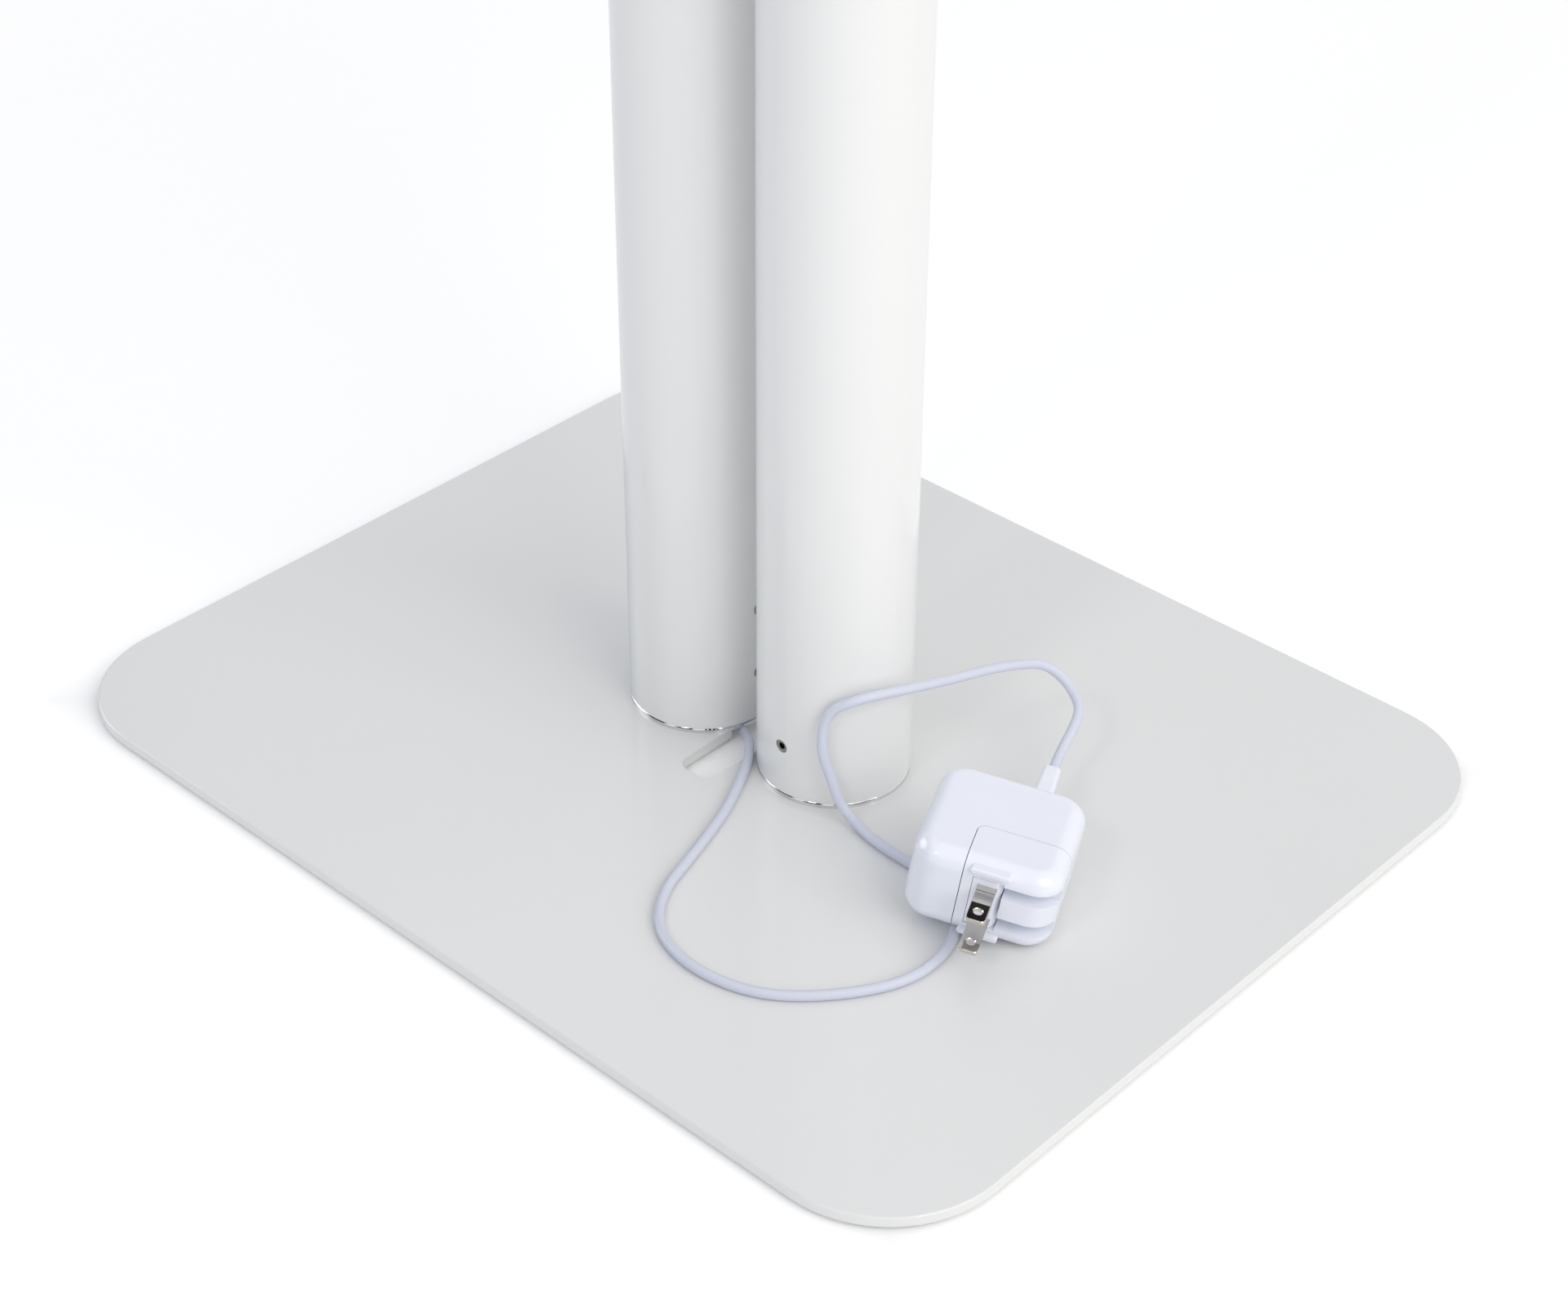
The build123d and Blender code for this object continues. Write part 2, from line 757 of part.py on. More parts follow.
# Shoulder bolt on the left of the tilt joint
with BuildPart() as tilt_bolt:
    with BuildSketch(Plane.YZ.offset(-cheek_outer - running_gap)):
        with Locations((0, pivot_z)):
            Circle(bolt_head_radius)
    extrude(amount=-bolt_head_height)
    fillet(tilt_bolt.edges().sort_by(Axis.X)[0], overrun / 2)
    with BuildSketch(Plane.YZ.offset(-cheek_outer - running_gap)):
        with Locations((0, pivot_z)):
            Circle(pivot_radius)
    extrude(amount=cheek_outer - bolt_reach)
    with BuildSketch(Plane.YZ.offset(-cheek_outer - running_gap - bolt_head_height)):
        with Locations((0, pivot_z)):
            RegularPolygon(bolt_head_radius * hex_share, 6)
    extrude(amount=socket_depth, mode=Mode.SUBTRACT)
tilt_bolt.part.label = "tilt_bolt"
export_step(tilt_bolt.part, "parts/tilt_bolt.step")

# Clamp knob and its stud on the right of the tilt joint
tilt_boss_face = cheek_outer + part_gap
with BuildPart() as tilt_stud:
    with BuildSketch(Plane.YZ.offset(bolt_reach)):
        with Locations((0, pivot_z)):
            Circle(pivot_radius)
    extrude(amount=tilt_boss_face + boss_width + knob_width / 2 - bolt_reach)
tilt_stud.part.label = "tilt_stud"
export_step(tilt_stud.part, "parts/tilt_stud.step")

with BuildPart() as tilt_knob:
    with BuildSketch(Plane.YZ.offset(tilt_boss_face + boss_width)):
        with Locations((0, pivot_z)):
            add(lobed_outline())
    extrude(amount=knob_width)
    fillet(tilt_knob.faces().sort_by(Axis.X)[-1].edges(), knob_round)
    fillet(tilt_knob.faces().sort_by(Axis.X)[0].edges(), knob_round / 2)
    with BuildSketch(Plane.YZ.offset(tilt_boss_face)):
        with Locations((0, pivot_z)):
            Circle(boss_radius)
    extrude(amount=boss_width)
    with BuildSketch(Plane.YZ.offset(tilt_boss_face + boss_width + knob_width)):
        with Locations((0, pivot_z)):
            Circle(knob_cap_radius)
    extrude(amount=knob_cap_width)
    with BuildSketch(Plane.YZ.offset(tilt_boss_face)):
        with Locations((0, pivot_z)):
            Circle(pivot_radius)
    extrude(amount=boss_width + knob_width / 2, mode=Mode.SUBTRACT)
tilt_knob.part.label = "tilt_knob"
export_step(tilt_knob.part, "parts/tilt_knob.step")

# Hollow spindle on which the holder turns between landscape and portrait
spindle_end = bracket_front + bracket_plate_thickness + ring_width + 2 * running_gap
with BuildPart() as spindle:
    with BuildSketch(looking_front(holder_rear)):
        Circle(spindle_flange_radius)
    extrude(amount=-spindle_flange)
    with BuildSketch(looking_front(flange_back)):
        Circle(spindle_radius)
    extrude(amount=flange_back - spindle_end)
    with BuildSketch(looking_front(holder_rear)):
        Circle(spindle_bore)
        with PolarLocations(hub_screw_circle, hub_screws, 45):
            Circle(hub_screw_radius)
    extrude(amount=holder_rear - spindle_end, mode=Mode.SUBTRACT)
spindle.part.label = "spindle"
export_step(spindle.part, "parts/spindle.step")

with BuildPart() as turn_washer:
    with BuildSketch(looking_front(bracket_front - running_gap)):
        Circle(turn_washer_radius)
        Circle(spindle_radius + running_gap, mode=Mode.SUBTRACT)
    extrude(amount=turn_washer_thickness)
turn_washer.part.label = "turn_washer"
export_step(turn_washer.part, "parts/turn_washer.step")

with BuildPart() as spindle_ring:
    with BuildSketch(looking_front(spindle_end - running_gap)):
        Circle(ring_radius)
        Circle(spindle_radius, mode=Mode.SUBTRACT)
    extrude(amount=ring_width)
spindle_ring.part.label = "spindle_ring"
export_step(spindle_ring.part, "parts/spindle_ring.step")

# Screws from inside the holder into the spindle's flange
with BuildPart() as hub_screws_group:
    with BuildSketch(looking_front(panel_front)):
        with PolarLocations(hub_screw_circle, hub_screws, 45):
            Circle(hub_screw_head_radius)
    extrude(amount=hub_screw_head_height)
    with BuildSketch(looking_front(panel_front)):
        with PolarLocations(hub_screw_circle, hub_screws, 45):
            Circle(hub_screw_radius - running_gap)
    extrude(amount=-holder_back - spindle_flange + part_gap)
    with BuildSketch(looking_front(panel_front - hub_screw_head_height)):
        with PolarLocations(hub_screw_circle, hub_screws, 45):
            RegularPolygon(hub_screw_head_radius * hex_share, 6)
    extrude(amount=-hub_screw_head_height / 2, mode=Mode.SUBTRACT)
hub_screws_group.part.label = "hub_screws"
export_step(hub_screws_group.part, "parts/hub_screws.step")

# Holder tray: the back of the tablet holder, with hinge knuckles below and magnet bosses above
inner_width = holder_width - 2 * holder_wall
inner_height = holder_height - 2 * holder_wall
magnet_x = holder_width / 2 - magnet_margin_x
magnet_z = holder_height / 2 - magnet_margin_z
boss_face = bezel_back + magnet_thickness + magnet_boss_wall
lower_edge = hinge_z - pivot_z
knuckle_offset = (knuckle_length + side_knuckle_length) / 2 + part_gap
with BuildPart() as holder_tray:
    with BuildSketch(looking_front(holder_rear)):
        RectangleRounded(holder_width, holder_height, holder_corner)
    extrude(amount=holder_depth)
    fillet(holder_tray.faces().sort_by(Axis.Y)[-1].edges(), holder_round)
    with BuildSketch(looking_front(panel_front)):
        RectangleRounded(inner_width, inner_height, holder_corner - holder_wall)
    extrude(amount=holder_depth, mode=Mode.SUBTRACT)
    with BuildSketch(looking_front(panel_front)):
        with GridLocations(2 * magnet_x, 0, 2, 1):
            with Locations((0, magnet_z)):
                Circle(magnet_radius + magnet_boss_wall)
    extrude(amount=panel_front - boss_face - part_gap)
    with BuildSketch(looking_front(boss_face + part_gap)):
        with GridLocations(2 * magnet_x, 0, 2, 1):
            with Locations((0, magnet_z)):
                Circle(magnet_radius + running_gap)
    extrude(amount=-magnet_thickness, mode=Mode.SUBTRACT)
    with BuildSketch(looking_front(holder_rear)):
        Circle(spindle_radius)
        with PolarLocations(hub_screw_circle, hub_screws, 45):
            Circle(hub_screw_radius + running_gap)
    extrude(amount=holder_back, mode=Mode.SUBTRACT)
    with Locations(*[Pos(x, tray_front, hinge_z) for x in (-hinge_x, hinge_x)]):
        Box(
            knuckle_length,
            knuckle_arm,
            knuckle_radius + part_gap + holder_wall,
            align=(Align.CENTER, Align.MIN, Align.MIN),
        )
        Cylinder(knuckle_radius, knuckle_length, rotation=(0, 90, 0))
        Cylinder(
            hinge_pin_radius + running_gap,
            knuckle_length,
            rotation=(0, 90, 0),
            mode=Mode.SUBTRACT,
        )
holder_tray.part.label = "holder_tray"
export_step(holder_tray.part, "parts/holder_tray.step")

# Foam pads behind the tablet and rubber stops round its edge
with BuildPart() as back_pads:
    with BuildSketch(looking_front(panel_front)):
        with GridLocations(2 * back_pad_x, 2 * back_pad_z, 2, 2):
            RectangleRounded(back_pad_width, back_pad_height, back_pad_thickness)
    extrude(amount=back_pad_thickness)
back_pads.part.label = "back_pads"
export_step(back_pads.part, "parts/back_pads.step")

side_stop = tablet_side_room - part_gap
end_stop = tablet_end_room - part_gap
with BuildPart() as tablet_stops:
    with BuildSketch(looking_front(panel_front)):
        with GridLocations(inner_width - side_stop, 2 * stop_z, 2, 2):
            Rectangle(side_stop, stop_length)
        with GridLocations(2 * stop_x, inner_height - end_stop, 2, 2):
            Rectangle(stop_length, end_stop)
    extrude(amount=stop_depth)
tablet_stops.part.label = "tablet_stops"
export_step(tablet_stops.part, "parts/tablet_stops.step")

# Front bezel with its window, a lip that nests in the tray and knuckles on its lower edge
lip_width = inner_width - 2 * skirt_gap
lip_height = inner_height - 2 * skirt_gap
lip_corner = holder_corner - holder_wall - skirt_gap
with BuildPart() as front_bezel:
    with BuildSketch(looking_front(bezel_back)):
        RectangleRounded(holder_width, holder_height, holder_corner)
    extrude(amount=bezel_thickness)
    fillet(front_bezel.faces().sort_by(Axis.Y)[0].edges(), holder_round)
    with BuildSketch(looking_front(bezel_back)):
        RectangleRounded(window_width, window_height, window_corner)
    extrude(amount=bezel_thickness, mode=Mode.SUBTRACT)
    chamfer(front_bezel.faces().sort_by(Axis.Y)[0].inner_wires()[0].edges(), window_bevel)
    with BuildSketch(looking_front(bezel_back)):
        RectangleRounded(lip_width, lip_height, lip_corner)
        RectangleRounded(
            lip_width - 2 * skirt_thickness,
            lip_height - 2 * skirt_thickness,
            lip_corner - skirt_thickness,
            mode=Mode.SUBTRACT,
        )
        with GridLocations(2 * magnet_x, 0, 2, 1):
            with Locations((0, magnet_z)):
                Circle(magnet_radius + magnet_boss_wall)
    extrude(amount=bezel_back - boss_face)
    with BuildSketch(looking_front(boss_face)):
        with GridLocations(2 * magnet_x, 0, 2, 1):
            with Locations((0, magnet_z)):
                Circle(magnet_radius + running_gap)
    extrude(amount=magnet_thickness, mode=Mode.SUBTRACT)
    for x in (-hinge_x, hinge_x):
        for sign in (-1, 1):
            with Locations(Pos(x + sign * knuckle_offset, tray_front, hinge_z)):
                Cylinder(knuckle_radius, side_knuckle_length, rotation=(0, 90, 0))
                with Locations((0, bezel_back - tray_front, 0)):
                    Box(
                        side_knuckle_length,
                        bezel_thickness,
                        knuckle_radius + part_gap + holder_wall,
                        align=(Align.CENTER, Align.MAX, Align.MIN),
                    )
                Cylinder(
                    hinge_pin_radius + running_gap,
                    side_knuckle_length,
                    rotation=(0, 90, 0),
                    mode=Mode.SUBTRACT,
                )
front_bezel.part.label = "front_bezel"
export_step(front_bezel.part, "parts/front_bezel.step")

with BuildPart() as window_gasket:
    with BuildSketch(looking_front(bezel_back + gasket_thickness)):
        RectangleRounded(
            window_width + 2 * gasket_width,
            window_height + 2 * gasket_width,
            window_corner + gasket_width,
        )
        RectangleRounded(window_width, window_height, window_corner, mode=Mode.SUBTRACT)
    extrude(amount=gasket_thickness)
window_gasket.part.label = "window_gasket"
export_step(window_gasket.part, "parts/window_gasket.step")

with BuildPart() as hinge_pins:
    with Locations(*[Pos(x, tray_front, hinge_z) for x in (-hinge_x, hinge_x)]):
        Cylinder(
            hinge_pin_radius,
            knuckle_length + 2 * side_knuckle_length + 2 * part_gap,
            rotation=(0, 90, 0),
        )
hinge_pins.part.label = "hinge_pins"
export_step(hinge_pins.part, "parts/hinge_pins.step")

# Magnets that keep the bezel shut, one pair in the tray and one in the bezel
with BuildPart() as tray_magnets:
    with BuildSketch(looking_front(boss_face + part_gap + magnet_thickness)):
        with GridLocations(2 * magnet_x, 0, 2, 1):
            with Locations((0, magnet_z)):
                Circle(magnet_radius)
    extrude(amount=magnet_thickness)
tray_magnets.part.label = "tray_magnets"
export_step(tray_magnets.part, "parts/tray_magnets.step")

with BuildPart() as bezel_magnets:
    with BuildSketch(looking_front(boss_face)):
        with GridLocations(2 * magnet_x, 0, 2, 1):
            with Locations((0, magnet_z)):
                Circle(magnet_radius)
    extrude(amount=magnet_thickness)
bezel_magnets.part.label = "bezel_magnets"
export_step(bezel_magnets.part, "parts/bezel_magnets.step")


def bend_radii(points):
    """Bend at each inner point of a route, leaving straight runs between the bends."""
    radii = []
    for before, corner, after in zip(points, points[1:], points[2:]):
        arriving = Vector(*corner) - Vector(*before)
        leaving = Vector(*after) - Vector(*corner)
        half_turn = radians(arriving.get_angle(leaving)) / 2
        shorter = min(arriving.length, leaving.length)
        radii.append(bend_share * shorter / tan(half_turn))
    return radii


def cable_along(points, radii):
    """A round cable swept along straight runs and the bends between them."""
    with BuildPart() as cable:
        with BuildLine() as route:
            FilletPolyline(*points, radius=radii)
        start = Plane(origin=route.line @ 0, z_dir=route.line % 0)
        with BuildSketch(start):
            Circle(cable_radius)
        sweep(path=route.line)
    section = pi * cable_radius**2
    print("bends", [round(bend, 1) for bend in radii])
    print("volume", round(cable.part.volume), "of", round(section * route.wires()[0].length))
    return cable.part


# Charging cord over the plate, from the cut-out to the USB plug
cord_points = [
    (-20.0, -1.5, 3.4),
    (-11.5, -3.8, 3.4),
    (-3.0, -8.0, 3.5),
    (4.5, -14.0, 7.5),
    (11.5, -22.5, 7.3),
    (17.5, -33.0, 7.3),
    (25.0, -48.0, 7.3),
    (33.0, -72.0, 7.3),
    (38.5, -91.0, 7.3),
    (51.0, -106.0, 7.3),
    (72.0, -111.5, 7.3),
    (96.0, -106.0, 7.3),
    (114.0, -89.0, 7.3),
    (126.0, -68.0, 7.3),
    (124.5, -47.0, 7.3),
    (114.0, -32.0, 7.3),
    (100.0, -25.0, 7.3),
    (84.0, -25.5, 7.3),
    (70.0, -24.5, 7.3),
    (61.1, -22.4, 7.7),
    (54.2, -23.1, 12.8),
    (51.3, -24.0, 22.1),
    (48.6, -26.7, 33.9),
    (48.1, -23.8, 47.9),
    (56.8, -17.9, 54.5),
    (62.1, -1.9, 52.3),
    (66.0, 16.1, 48.6),
    (69.5, 36.0, 45.0),
    (72.2, 48.1, 41.7),
    (75.0, 55.7, 39.4),
    (79.2, 59.4, 35.7),
    (84.7, 60.0, 31.9),
    (91.9, 56.6, 28.9),
    (95.3, 49.1, 26.4),
    (97.99, 37.09, 21.2),
    (102.92, 27.31, 21.39),
]
charging_cord = cable_along(cord_points, bend_radii(cord_points))
charging_cord.label = "charging_cord"
export_step(charging_cord, "parts/charging_cord.step")

# Cable from the cut-out up through the left post plug
cord_start = Vector(*cord_points[0])
cord_way = (cord_start - Vector(*cord_points[1])).normalized()
foot_corner = cord_start + cord_way * (cord_start.X + post_axis) / abs(cord_way.X)
foot_points = [
    tuple(cord_start),
    tuple(foot_corner),
    (foot_corner.X, foot_corner.Y, foot_cable_top),
]
foot_cable = cable_along(foot_points, [2 * bend_share * (foot_corner - cord_start).length])
foot_cable.label = "foot_cable"
export_step(foot_cable, "parts/foot_cable.step")

# Cable in the head block: over the left tube's rim, across, and up between the lugs
head_cable_z = inner_top + cable_radius + cable_over_tube
head_cable_foot = head_cable_z - cable_bend - head_cable_drop
head_cable_end = head_top + head_cable_over
head_points = [
    (post_x(-1), 0, head_cable_foot),
    (post_x(-1), 0, head_cable_z),
    (0, 0, head_cable_z),
    (0, 0, head_cable_end),
]
head_cable = cable_along(head_points, [cable_bend, cable_bend])
head_cable.label = "head_cable"
export_step(head_cable, "parts/head_cable.step")

# Cable in the left post, wound in a loose spiral that the mast draws out as it rises
spiral_foot = foot_cable_top + slack_lead
spiral_top = head_cable_foot - slack_lead
spiral_points = [
    (
        post_x(-1) + slack_radius * cos(2 * pi * step / slack_steps),
        slack_radius * sin(2 * pi * step / slack_steps),
        spiral_foot + (spiral_top - spiral_foot) * step / (slack_turns * slack_steps),
    )
    for step in range(slack_turns * slack_steps + 1)
]
post_cable_points = [
    (foot_corner.X, foot_corner.Y, foot_cable_top),
    (foot_corner.X, foot_corner.Y, foot_cable_top + slack_lead / 2),
    *spiral_points,
    (post_x(-1), 0, head_cable_foot - slack_lead / 2),
    (post_x(-1), 0, head_cable_foot),
]
post_cable = cable_along(post_cable_points, bend_radii(post_cable_points))
post_cable.label = "post_cable"
export_step(post_cable, "parts/post_cable.step")

# Cable over the tilt axis, and straight through the hollow spindle
tilt_points = [
    (0, 0, head_cable_end),
    (0, 0, pivot_z),
    (0, hub_cable_start, pivot_z),
]
tilt_cable = cable_along(tilt_points, [cable_bend])
tilt_cable.label = "tilt_cable"
export_step(tilt_cable, "parts/tilt_cable.step")

with BuildPart() as hub_cable:
    with BuildSketch(looking_front(hub_cable_end)):
        Circle(cable_radius)
    extrude(amount=hub_cable_end - hub_cable_start)
hub_cable.part.label = "hub_cable"
export_step(hub_cable.part, "parts/hub_cable.step")

# Cable behind the tablet, round to the angled plug at its right edge
cable_plane_y = panel_front - cable_behind_tablet
tablet_middle_y = panel_front - back_pad_thickness - tablet_middle
holder_points = [
    (0, hub_cable_end, pivot_z),
    (0, cable_plane_y, pivot_z),
    *[(x, cable_plane_y, pivot_z + z) for x, z in holder_cable_bends],
    (tablet_plug_x, cable_plane_y - holder_cable_set, pivot_z + holder_cable_low),
    (tablet_plug_x, cable_plane_y - holder_cable_set, pivot_z + tablet_plug_bottom),
]
holder_cable = cable_along(holder_points, [cable_bend, *bend_radii(holder_points)[1:]])
holder_cable.label = "holder_cable"
export_step(holder_cable, "parts/holder_cable.step")

with BuildPart() as tablet_plug:
    with Locations((tablet_plug_x, panel_front - tablet_plug_gap, pivot_z + tablet_plug_bottom)):
        Box(
            tablet_plug_width,
            tablet_plug_depth,
            tablet_plug_length,
            align=(Align.CENTER, Align.MAX, Align.MIN),
        )
    fillet(tablet_plug.edges(), tablet_plug_round)
tablet_plug.part.label = "tablet_plug"
export_step(tablet_plug.part, "parts/tablet_plug.step")

with BuildPart() as tablet_plug_tip:
    with Locations(
        (
            tablet_plug_x - tablet_plug_width / 2,
            tablet_middle_y,
            pivot_z + tablet_plug_bottom + tablet_plug_length / 2,
        )
    ):
        Box(
            tablet_tip_reach,
            tablet_tip_depth,
            tablet_tip_height,
            align=(Align.MAX, Align.CENTER, Align.CENTER),
        )
    fillet(tablet_plug_tip.edges().filter_by(Axis.X), overrun)
tablet_plug_tip.part.label = "tablet_plug_tip"
export_step(tablet_plug_tip.part, "parts/tablet_plug_tip.step")


def rounded_block(inset):
    """The charger's rounded outline, or the same drawn in by an inset."""
    with BuildPart() as block:
        with BuildSketch(Plane.XY.offset(inset - charger_height / 2)):
            side = charger_side - 2 * inset
            RectangleRounded(side, side, charger_corner - inset)
        extrude(amount=charger_height - 2 * inset)
        ends = block.faces().sort_by(Axis.Z)
        fillet(ends[0].edges() + ends[-1].edges(), charger_edge_round - inset)
    return block.part


def module_prism(gap):
    """The charger's front right corner, full height, grown by a gap on its two seams."""
    with BuildPart() as prism:
        with BuildSketch(Plane.XY.offset(-charger_height)):
            with Locations((module_left - gap, module_back + gap)):
                Rectangle(charger_side, charger_side, align=(Align.MIN, Align.MAX))
        extrude(amount=2 * charger_height)
        corner = prism.edges().filter_by(Axis.Z).sort_by(Axis.X)[:2].sort_by(Axis.Y)[-1]
        fillet(corner, module_corner + gap)
    return prism.part


# Charger shells, built in the charger's own axes and then laid on the plate
half_side = charger_side / 2
outer_block = rounded_block(0)
charger_pose = (
    Location((0, 0, 0), (0, 0, charger_turn))
    * Location((0, 0, 0), (0, charger_lean, 0))
    * Location((0, 0, 0), (charger_pitch, 0, 0))
)
lowest = (charger_pose * outer_block).bounding_box().min.Z
charger_frame = Location((charger_x, charger_y, plate_top + running_gap - lowest)) * charger_pose
hollow = rounded_block(charger_wall) - module_prism(seam_gap + charger_wall)
board_top = -socket_height / 2
blade_places = (-blade_pitch / 2, blade_pitch / 2)
with BuildPart() as charger_shell:
    add(outer_block)
    add(hollow, mode=Mode.SUBTRACT)
    add(module_prism(seam_gap), mode=Mode.SUBTRACT)
    with Locations((port_x, half_side, 0)):
        Box(
            socket_width + 2 * part_gap,
            2 * charger_edge_round,
            socket_height + 2 * part_gap,
            mode=Mode.SUBTRACT,
        )
    for z in blade_places:
        with Locations((contact_x, module_back, z)):
            Cylinder(
                contact_radius + part_gap,
                contact_length,
                rotation=(90, 0, 0),
                mode=Mode.SUBTRACT,
            )
with BuildPart() as charger_upper_shell:
    add(charger_shell.part)
    split(bisect_by=Plane.XY, keep=Keep.TOP)
charger_upper_shell.part.label = "charger_upper_shell"
export_step(charger_upper_shell.part.moved(charger_frame), "parts/charger_upper_shell.step")

with BuildPart() as charger_lower_shell:
    add(charger_shell.part)
    split(bisect_by=Plane.XY, keep=Keep.BOTTOM)
    with BuildSketch(Plane.XY.offset(board_top - board_thickness)):
        with Locations((0, board_middle)):
            with GridLocations(
                board_x - 2 * board_post_inset, board_y - 2 * board_post_inset, 2, 2
            ):
                Circle(board_post_radius)
    extrude(amount=-(charger_height / 2 - charger_wall / 2 + board_top - board_thickness))
charger_lower_shell.part.label = "charger_lower_shell"
export_step(charger_lower_shell.part.moved(charger_frame), "parts/charger_lower_shell.step")

# Plug module: the seamed corner with the pivot pocket, two blade grooves and two ribs
pivot_y = carrier_depth - half_side
carrier_room = carrier_half_length + part_gap
window_half = carrier_left + part_gap / 2
with BuildPart() as module_ribs:
    with BuildSketch(Plane.XZ.offset(half_side + rib_proud)):
        with Locations((rib_x, rib_z), (rib_x, -rib_z)):
            RectangleRounded(rib_width, rib_height, rib_end_round)
    extrude(amount=-2 * charger_edge_round)
    fillet(module_ribs.edges().group_by(Axis.Y)[0], rib_edge_round)
with BuildPart() as plug_module:
    add(outer_block)
    add(module_prism(0), mode=Mode.INTERSECT)
    add(module_ribs.part)
    with Locations((blade_x, pivot_y, 0)):
        Cylinder(carrier_radius + part_gap, 2 * carrier_room, mode=Mode.SUBTRACT)
        Cylinder(
            carrier_pin_radius + running_gap,
            2 * (carrier_room + carrier_pin_length),
            mode=Mode.SUBTRACT,
        )
        Box(
            2 * window_half,
            2 * carrier_depth,
            2 * carrier_room,
            align=(Align.CENTER, Align.MAX, Align.CENTER),
            mode=Mode.SUBTRACT,
        )
    for z in blade_places:
        with Locations((blade_x + groove_start, groove_depth - half_side, z)):
            Box(
                charger_side,
                charger_side,
                groove_width,
                align=(Align.MIN, Align.MAX, Align.CENTER),
                mode=Mode.SUBTRACT,
            )
        with Locations((contact_x, module_back, z)):
            Cylinder(contact_radius, contact_length, rotation=(90, 0, 0), mode=Mode.SUBTRACT)
plug_module.part.label = "plug_module"
export_step(plug_module.part.moved(charger_frame), "parts/plug_module.step")

with BuildPart() as contact_pins:
    with Locations(*[(contact_x, module_back, z) for z in blade_places]):
        Cylinder(contact_radius, contact_length, rotation=(90, 0, 0))
contact_pins.part.label = "contact_pins"
export_step(contact_pins.part.moved(charger_frame), "parts/contact_pins.step")

# Blades and the carrier in which they fold
blade_length = blade_reach + carrier_depth
with BuildPart() as plug_blades:
    for z in blade_places:
        with BuildSketch(Plane.XY.offset(z - blade_thickness / 2)):
            with Locations((blade_x, pivot_y)):
                Rectangle(blade_width, blade_length, align=(Align.CENTER, Align.MAX))
            with Locations((blade_x, pivot_y - blade_length + blade_hole_inset)):
                Circle(blade_hole_radius, mode=Mode.SUBTRACT)
        extrude(amount=blade_thickness)
    tips = plug_blades.edges().filter_by(Axis.Z).group_by(Axis.Y)[0]
    fillet(tips, blade_tip_round)
plug_blades.part.label = "plug_blades"
export_step(plug_blades.part.moved(charger_frame), "parts/plug_blades.step")

with BuildPart() as blade_carrier:
    with BuildSketch(Plane.XY.offset(-carrier_half_length)):
        with Locations((blade_x, pivot_y)):
            Circle(carrier_radius)
            Rectangle(carrier_left, carrier_flat, align=(Align.MAX, Align.MAX))
        with Locations((blade_x, pivot_y - carrier_flat)):
            Rectangle(
                charger_side,
                carrier_radius,
                align=(Align.CENTER, Align.MAX),
                mode=Mode.SUBTRACT,
            )
    extrude(amount=2 * carrier_half_length)
    with Locations((blade_x, pivot_y, 0)):
        Cylinder(carrier_pin_radius, 2 * (carrier_half_length + carrier_pin_length))
    for z in blade_places:
        with Locations((blade_x, pivot_y, z)):
            Box(
                blade_width,
                blade_length,
                blade_thickness,
                align=(Align.CENTER, Align.MAX, Align.CENTER),
                mode=Mode.SUBTRACT,
            )
blade_carrier.part.label = "blade_carrier"
export_step(blade_carrier.part.moved(charger_frame), "parts/blade_carrier.step")

# Inside the charger: board, transformer, capacitor and the socket for the cord
with BuildPart() as charger_board:
    with Locations((0, board_middle, board_top)):
        Box(board_x, board_y, board_thickness, align=(Align.CENTER, Align.CENTER, Align.MAX))
charger_board.part.label = "charger_board"
export_step(charger_board.part.moved(charger_frame), "parts/charger_board.step")

with BuildPart() as transformer:
    with Locations((transformer_x, board_middle, board_top)):
        Box(*transformer_size, align=(Align.CENTER, Align.CENTER, Align.MIN))
    fillet(transformer.edges().filter_by(Axis.Z), overrun)
transformer.part.label = "transformer"
export_step(transformer.part.moved(charger_frame), "parts/transformer.step")

with BuildPart() as capacitor:
    with Locations((capacitor_x, capacitor_y, board_top + capacitor_radius)):
        Cylinder(capacitor_radius, capacitor_length, rotation=(90, 0, 0))
capacitor.part.label = "capacitor"
export_step(capacitor.part.moved(charger_frame), "parts/capacitor.step")

with BuildPart() as usb_socket:
    with Locations((port_x, half_side - part_gap, 0)):
        Box(
            socket_width,
            socket_length,
            socket_height,
            align=(Align.CENTER, Align.MAX, Align.CENTER),
        )
        Box(
            socket_width - 2 * socket_wall,
            socket_length - socket_wall,
            socket_height - 2 * socket_wall,
            align=(Align.CENTER, Align.MAX, Align.CENTER),
            mode=Mode.SUBTRACT,
        )
    with Locations((port_x + tongue_shift, half_side - part_gap - socket_length, 0)):
        Box(
            tongue_width,
            tongue_length,
            tongue_height,
            align=(Align.CENTER, Align.MIN, Align.CENTER),
        )
usb_socket.part.label = "usb_socket"
export_step(usb_socket.part.moved(charger_frame), "parts/usb_socket.step")

# USB plug on the end of the cord
grip_start_y = half_side + usb_grip_gap
away = Plane(origin=(port_x, grip_start_y, 0), x_dir=(-1, 0, 0), z_dir=(0, 1, 0))
with BuildPart() as usb_grip:
    with BuildSketch(away):
        RectangleRounded(*usb_grip_start, usb_grip_corner)
    with BuildSketch(away.offset(usb_grip_length)):
        RectangleRounded(*usb_grip_finish, usb_grip_corner)
    loft()
usb_grip.part.label = "usb_grip"
export_step(usb_grip.part.moved(charger_frame), "parts/usb_grip.step")

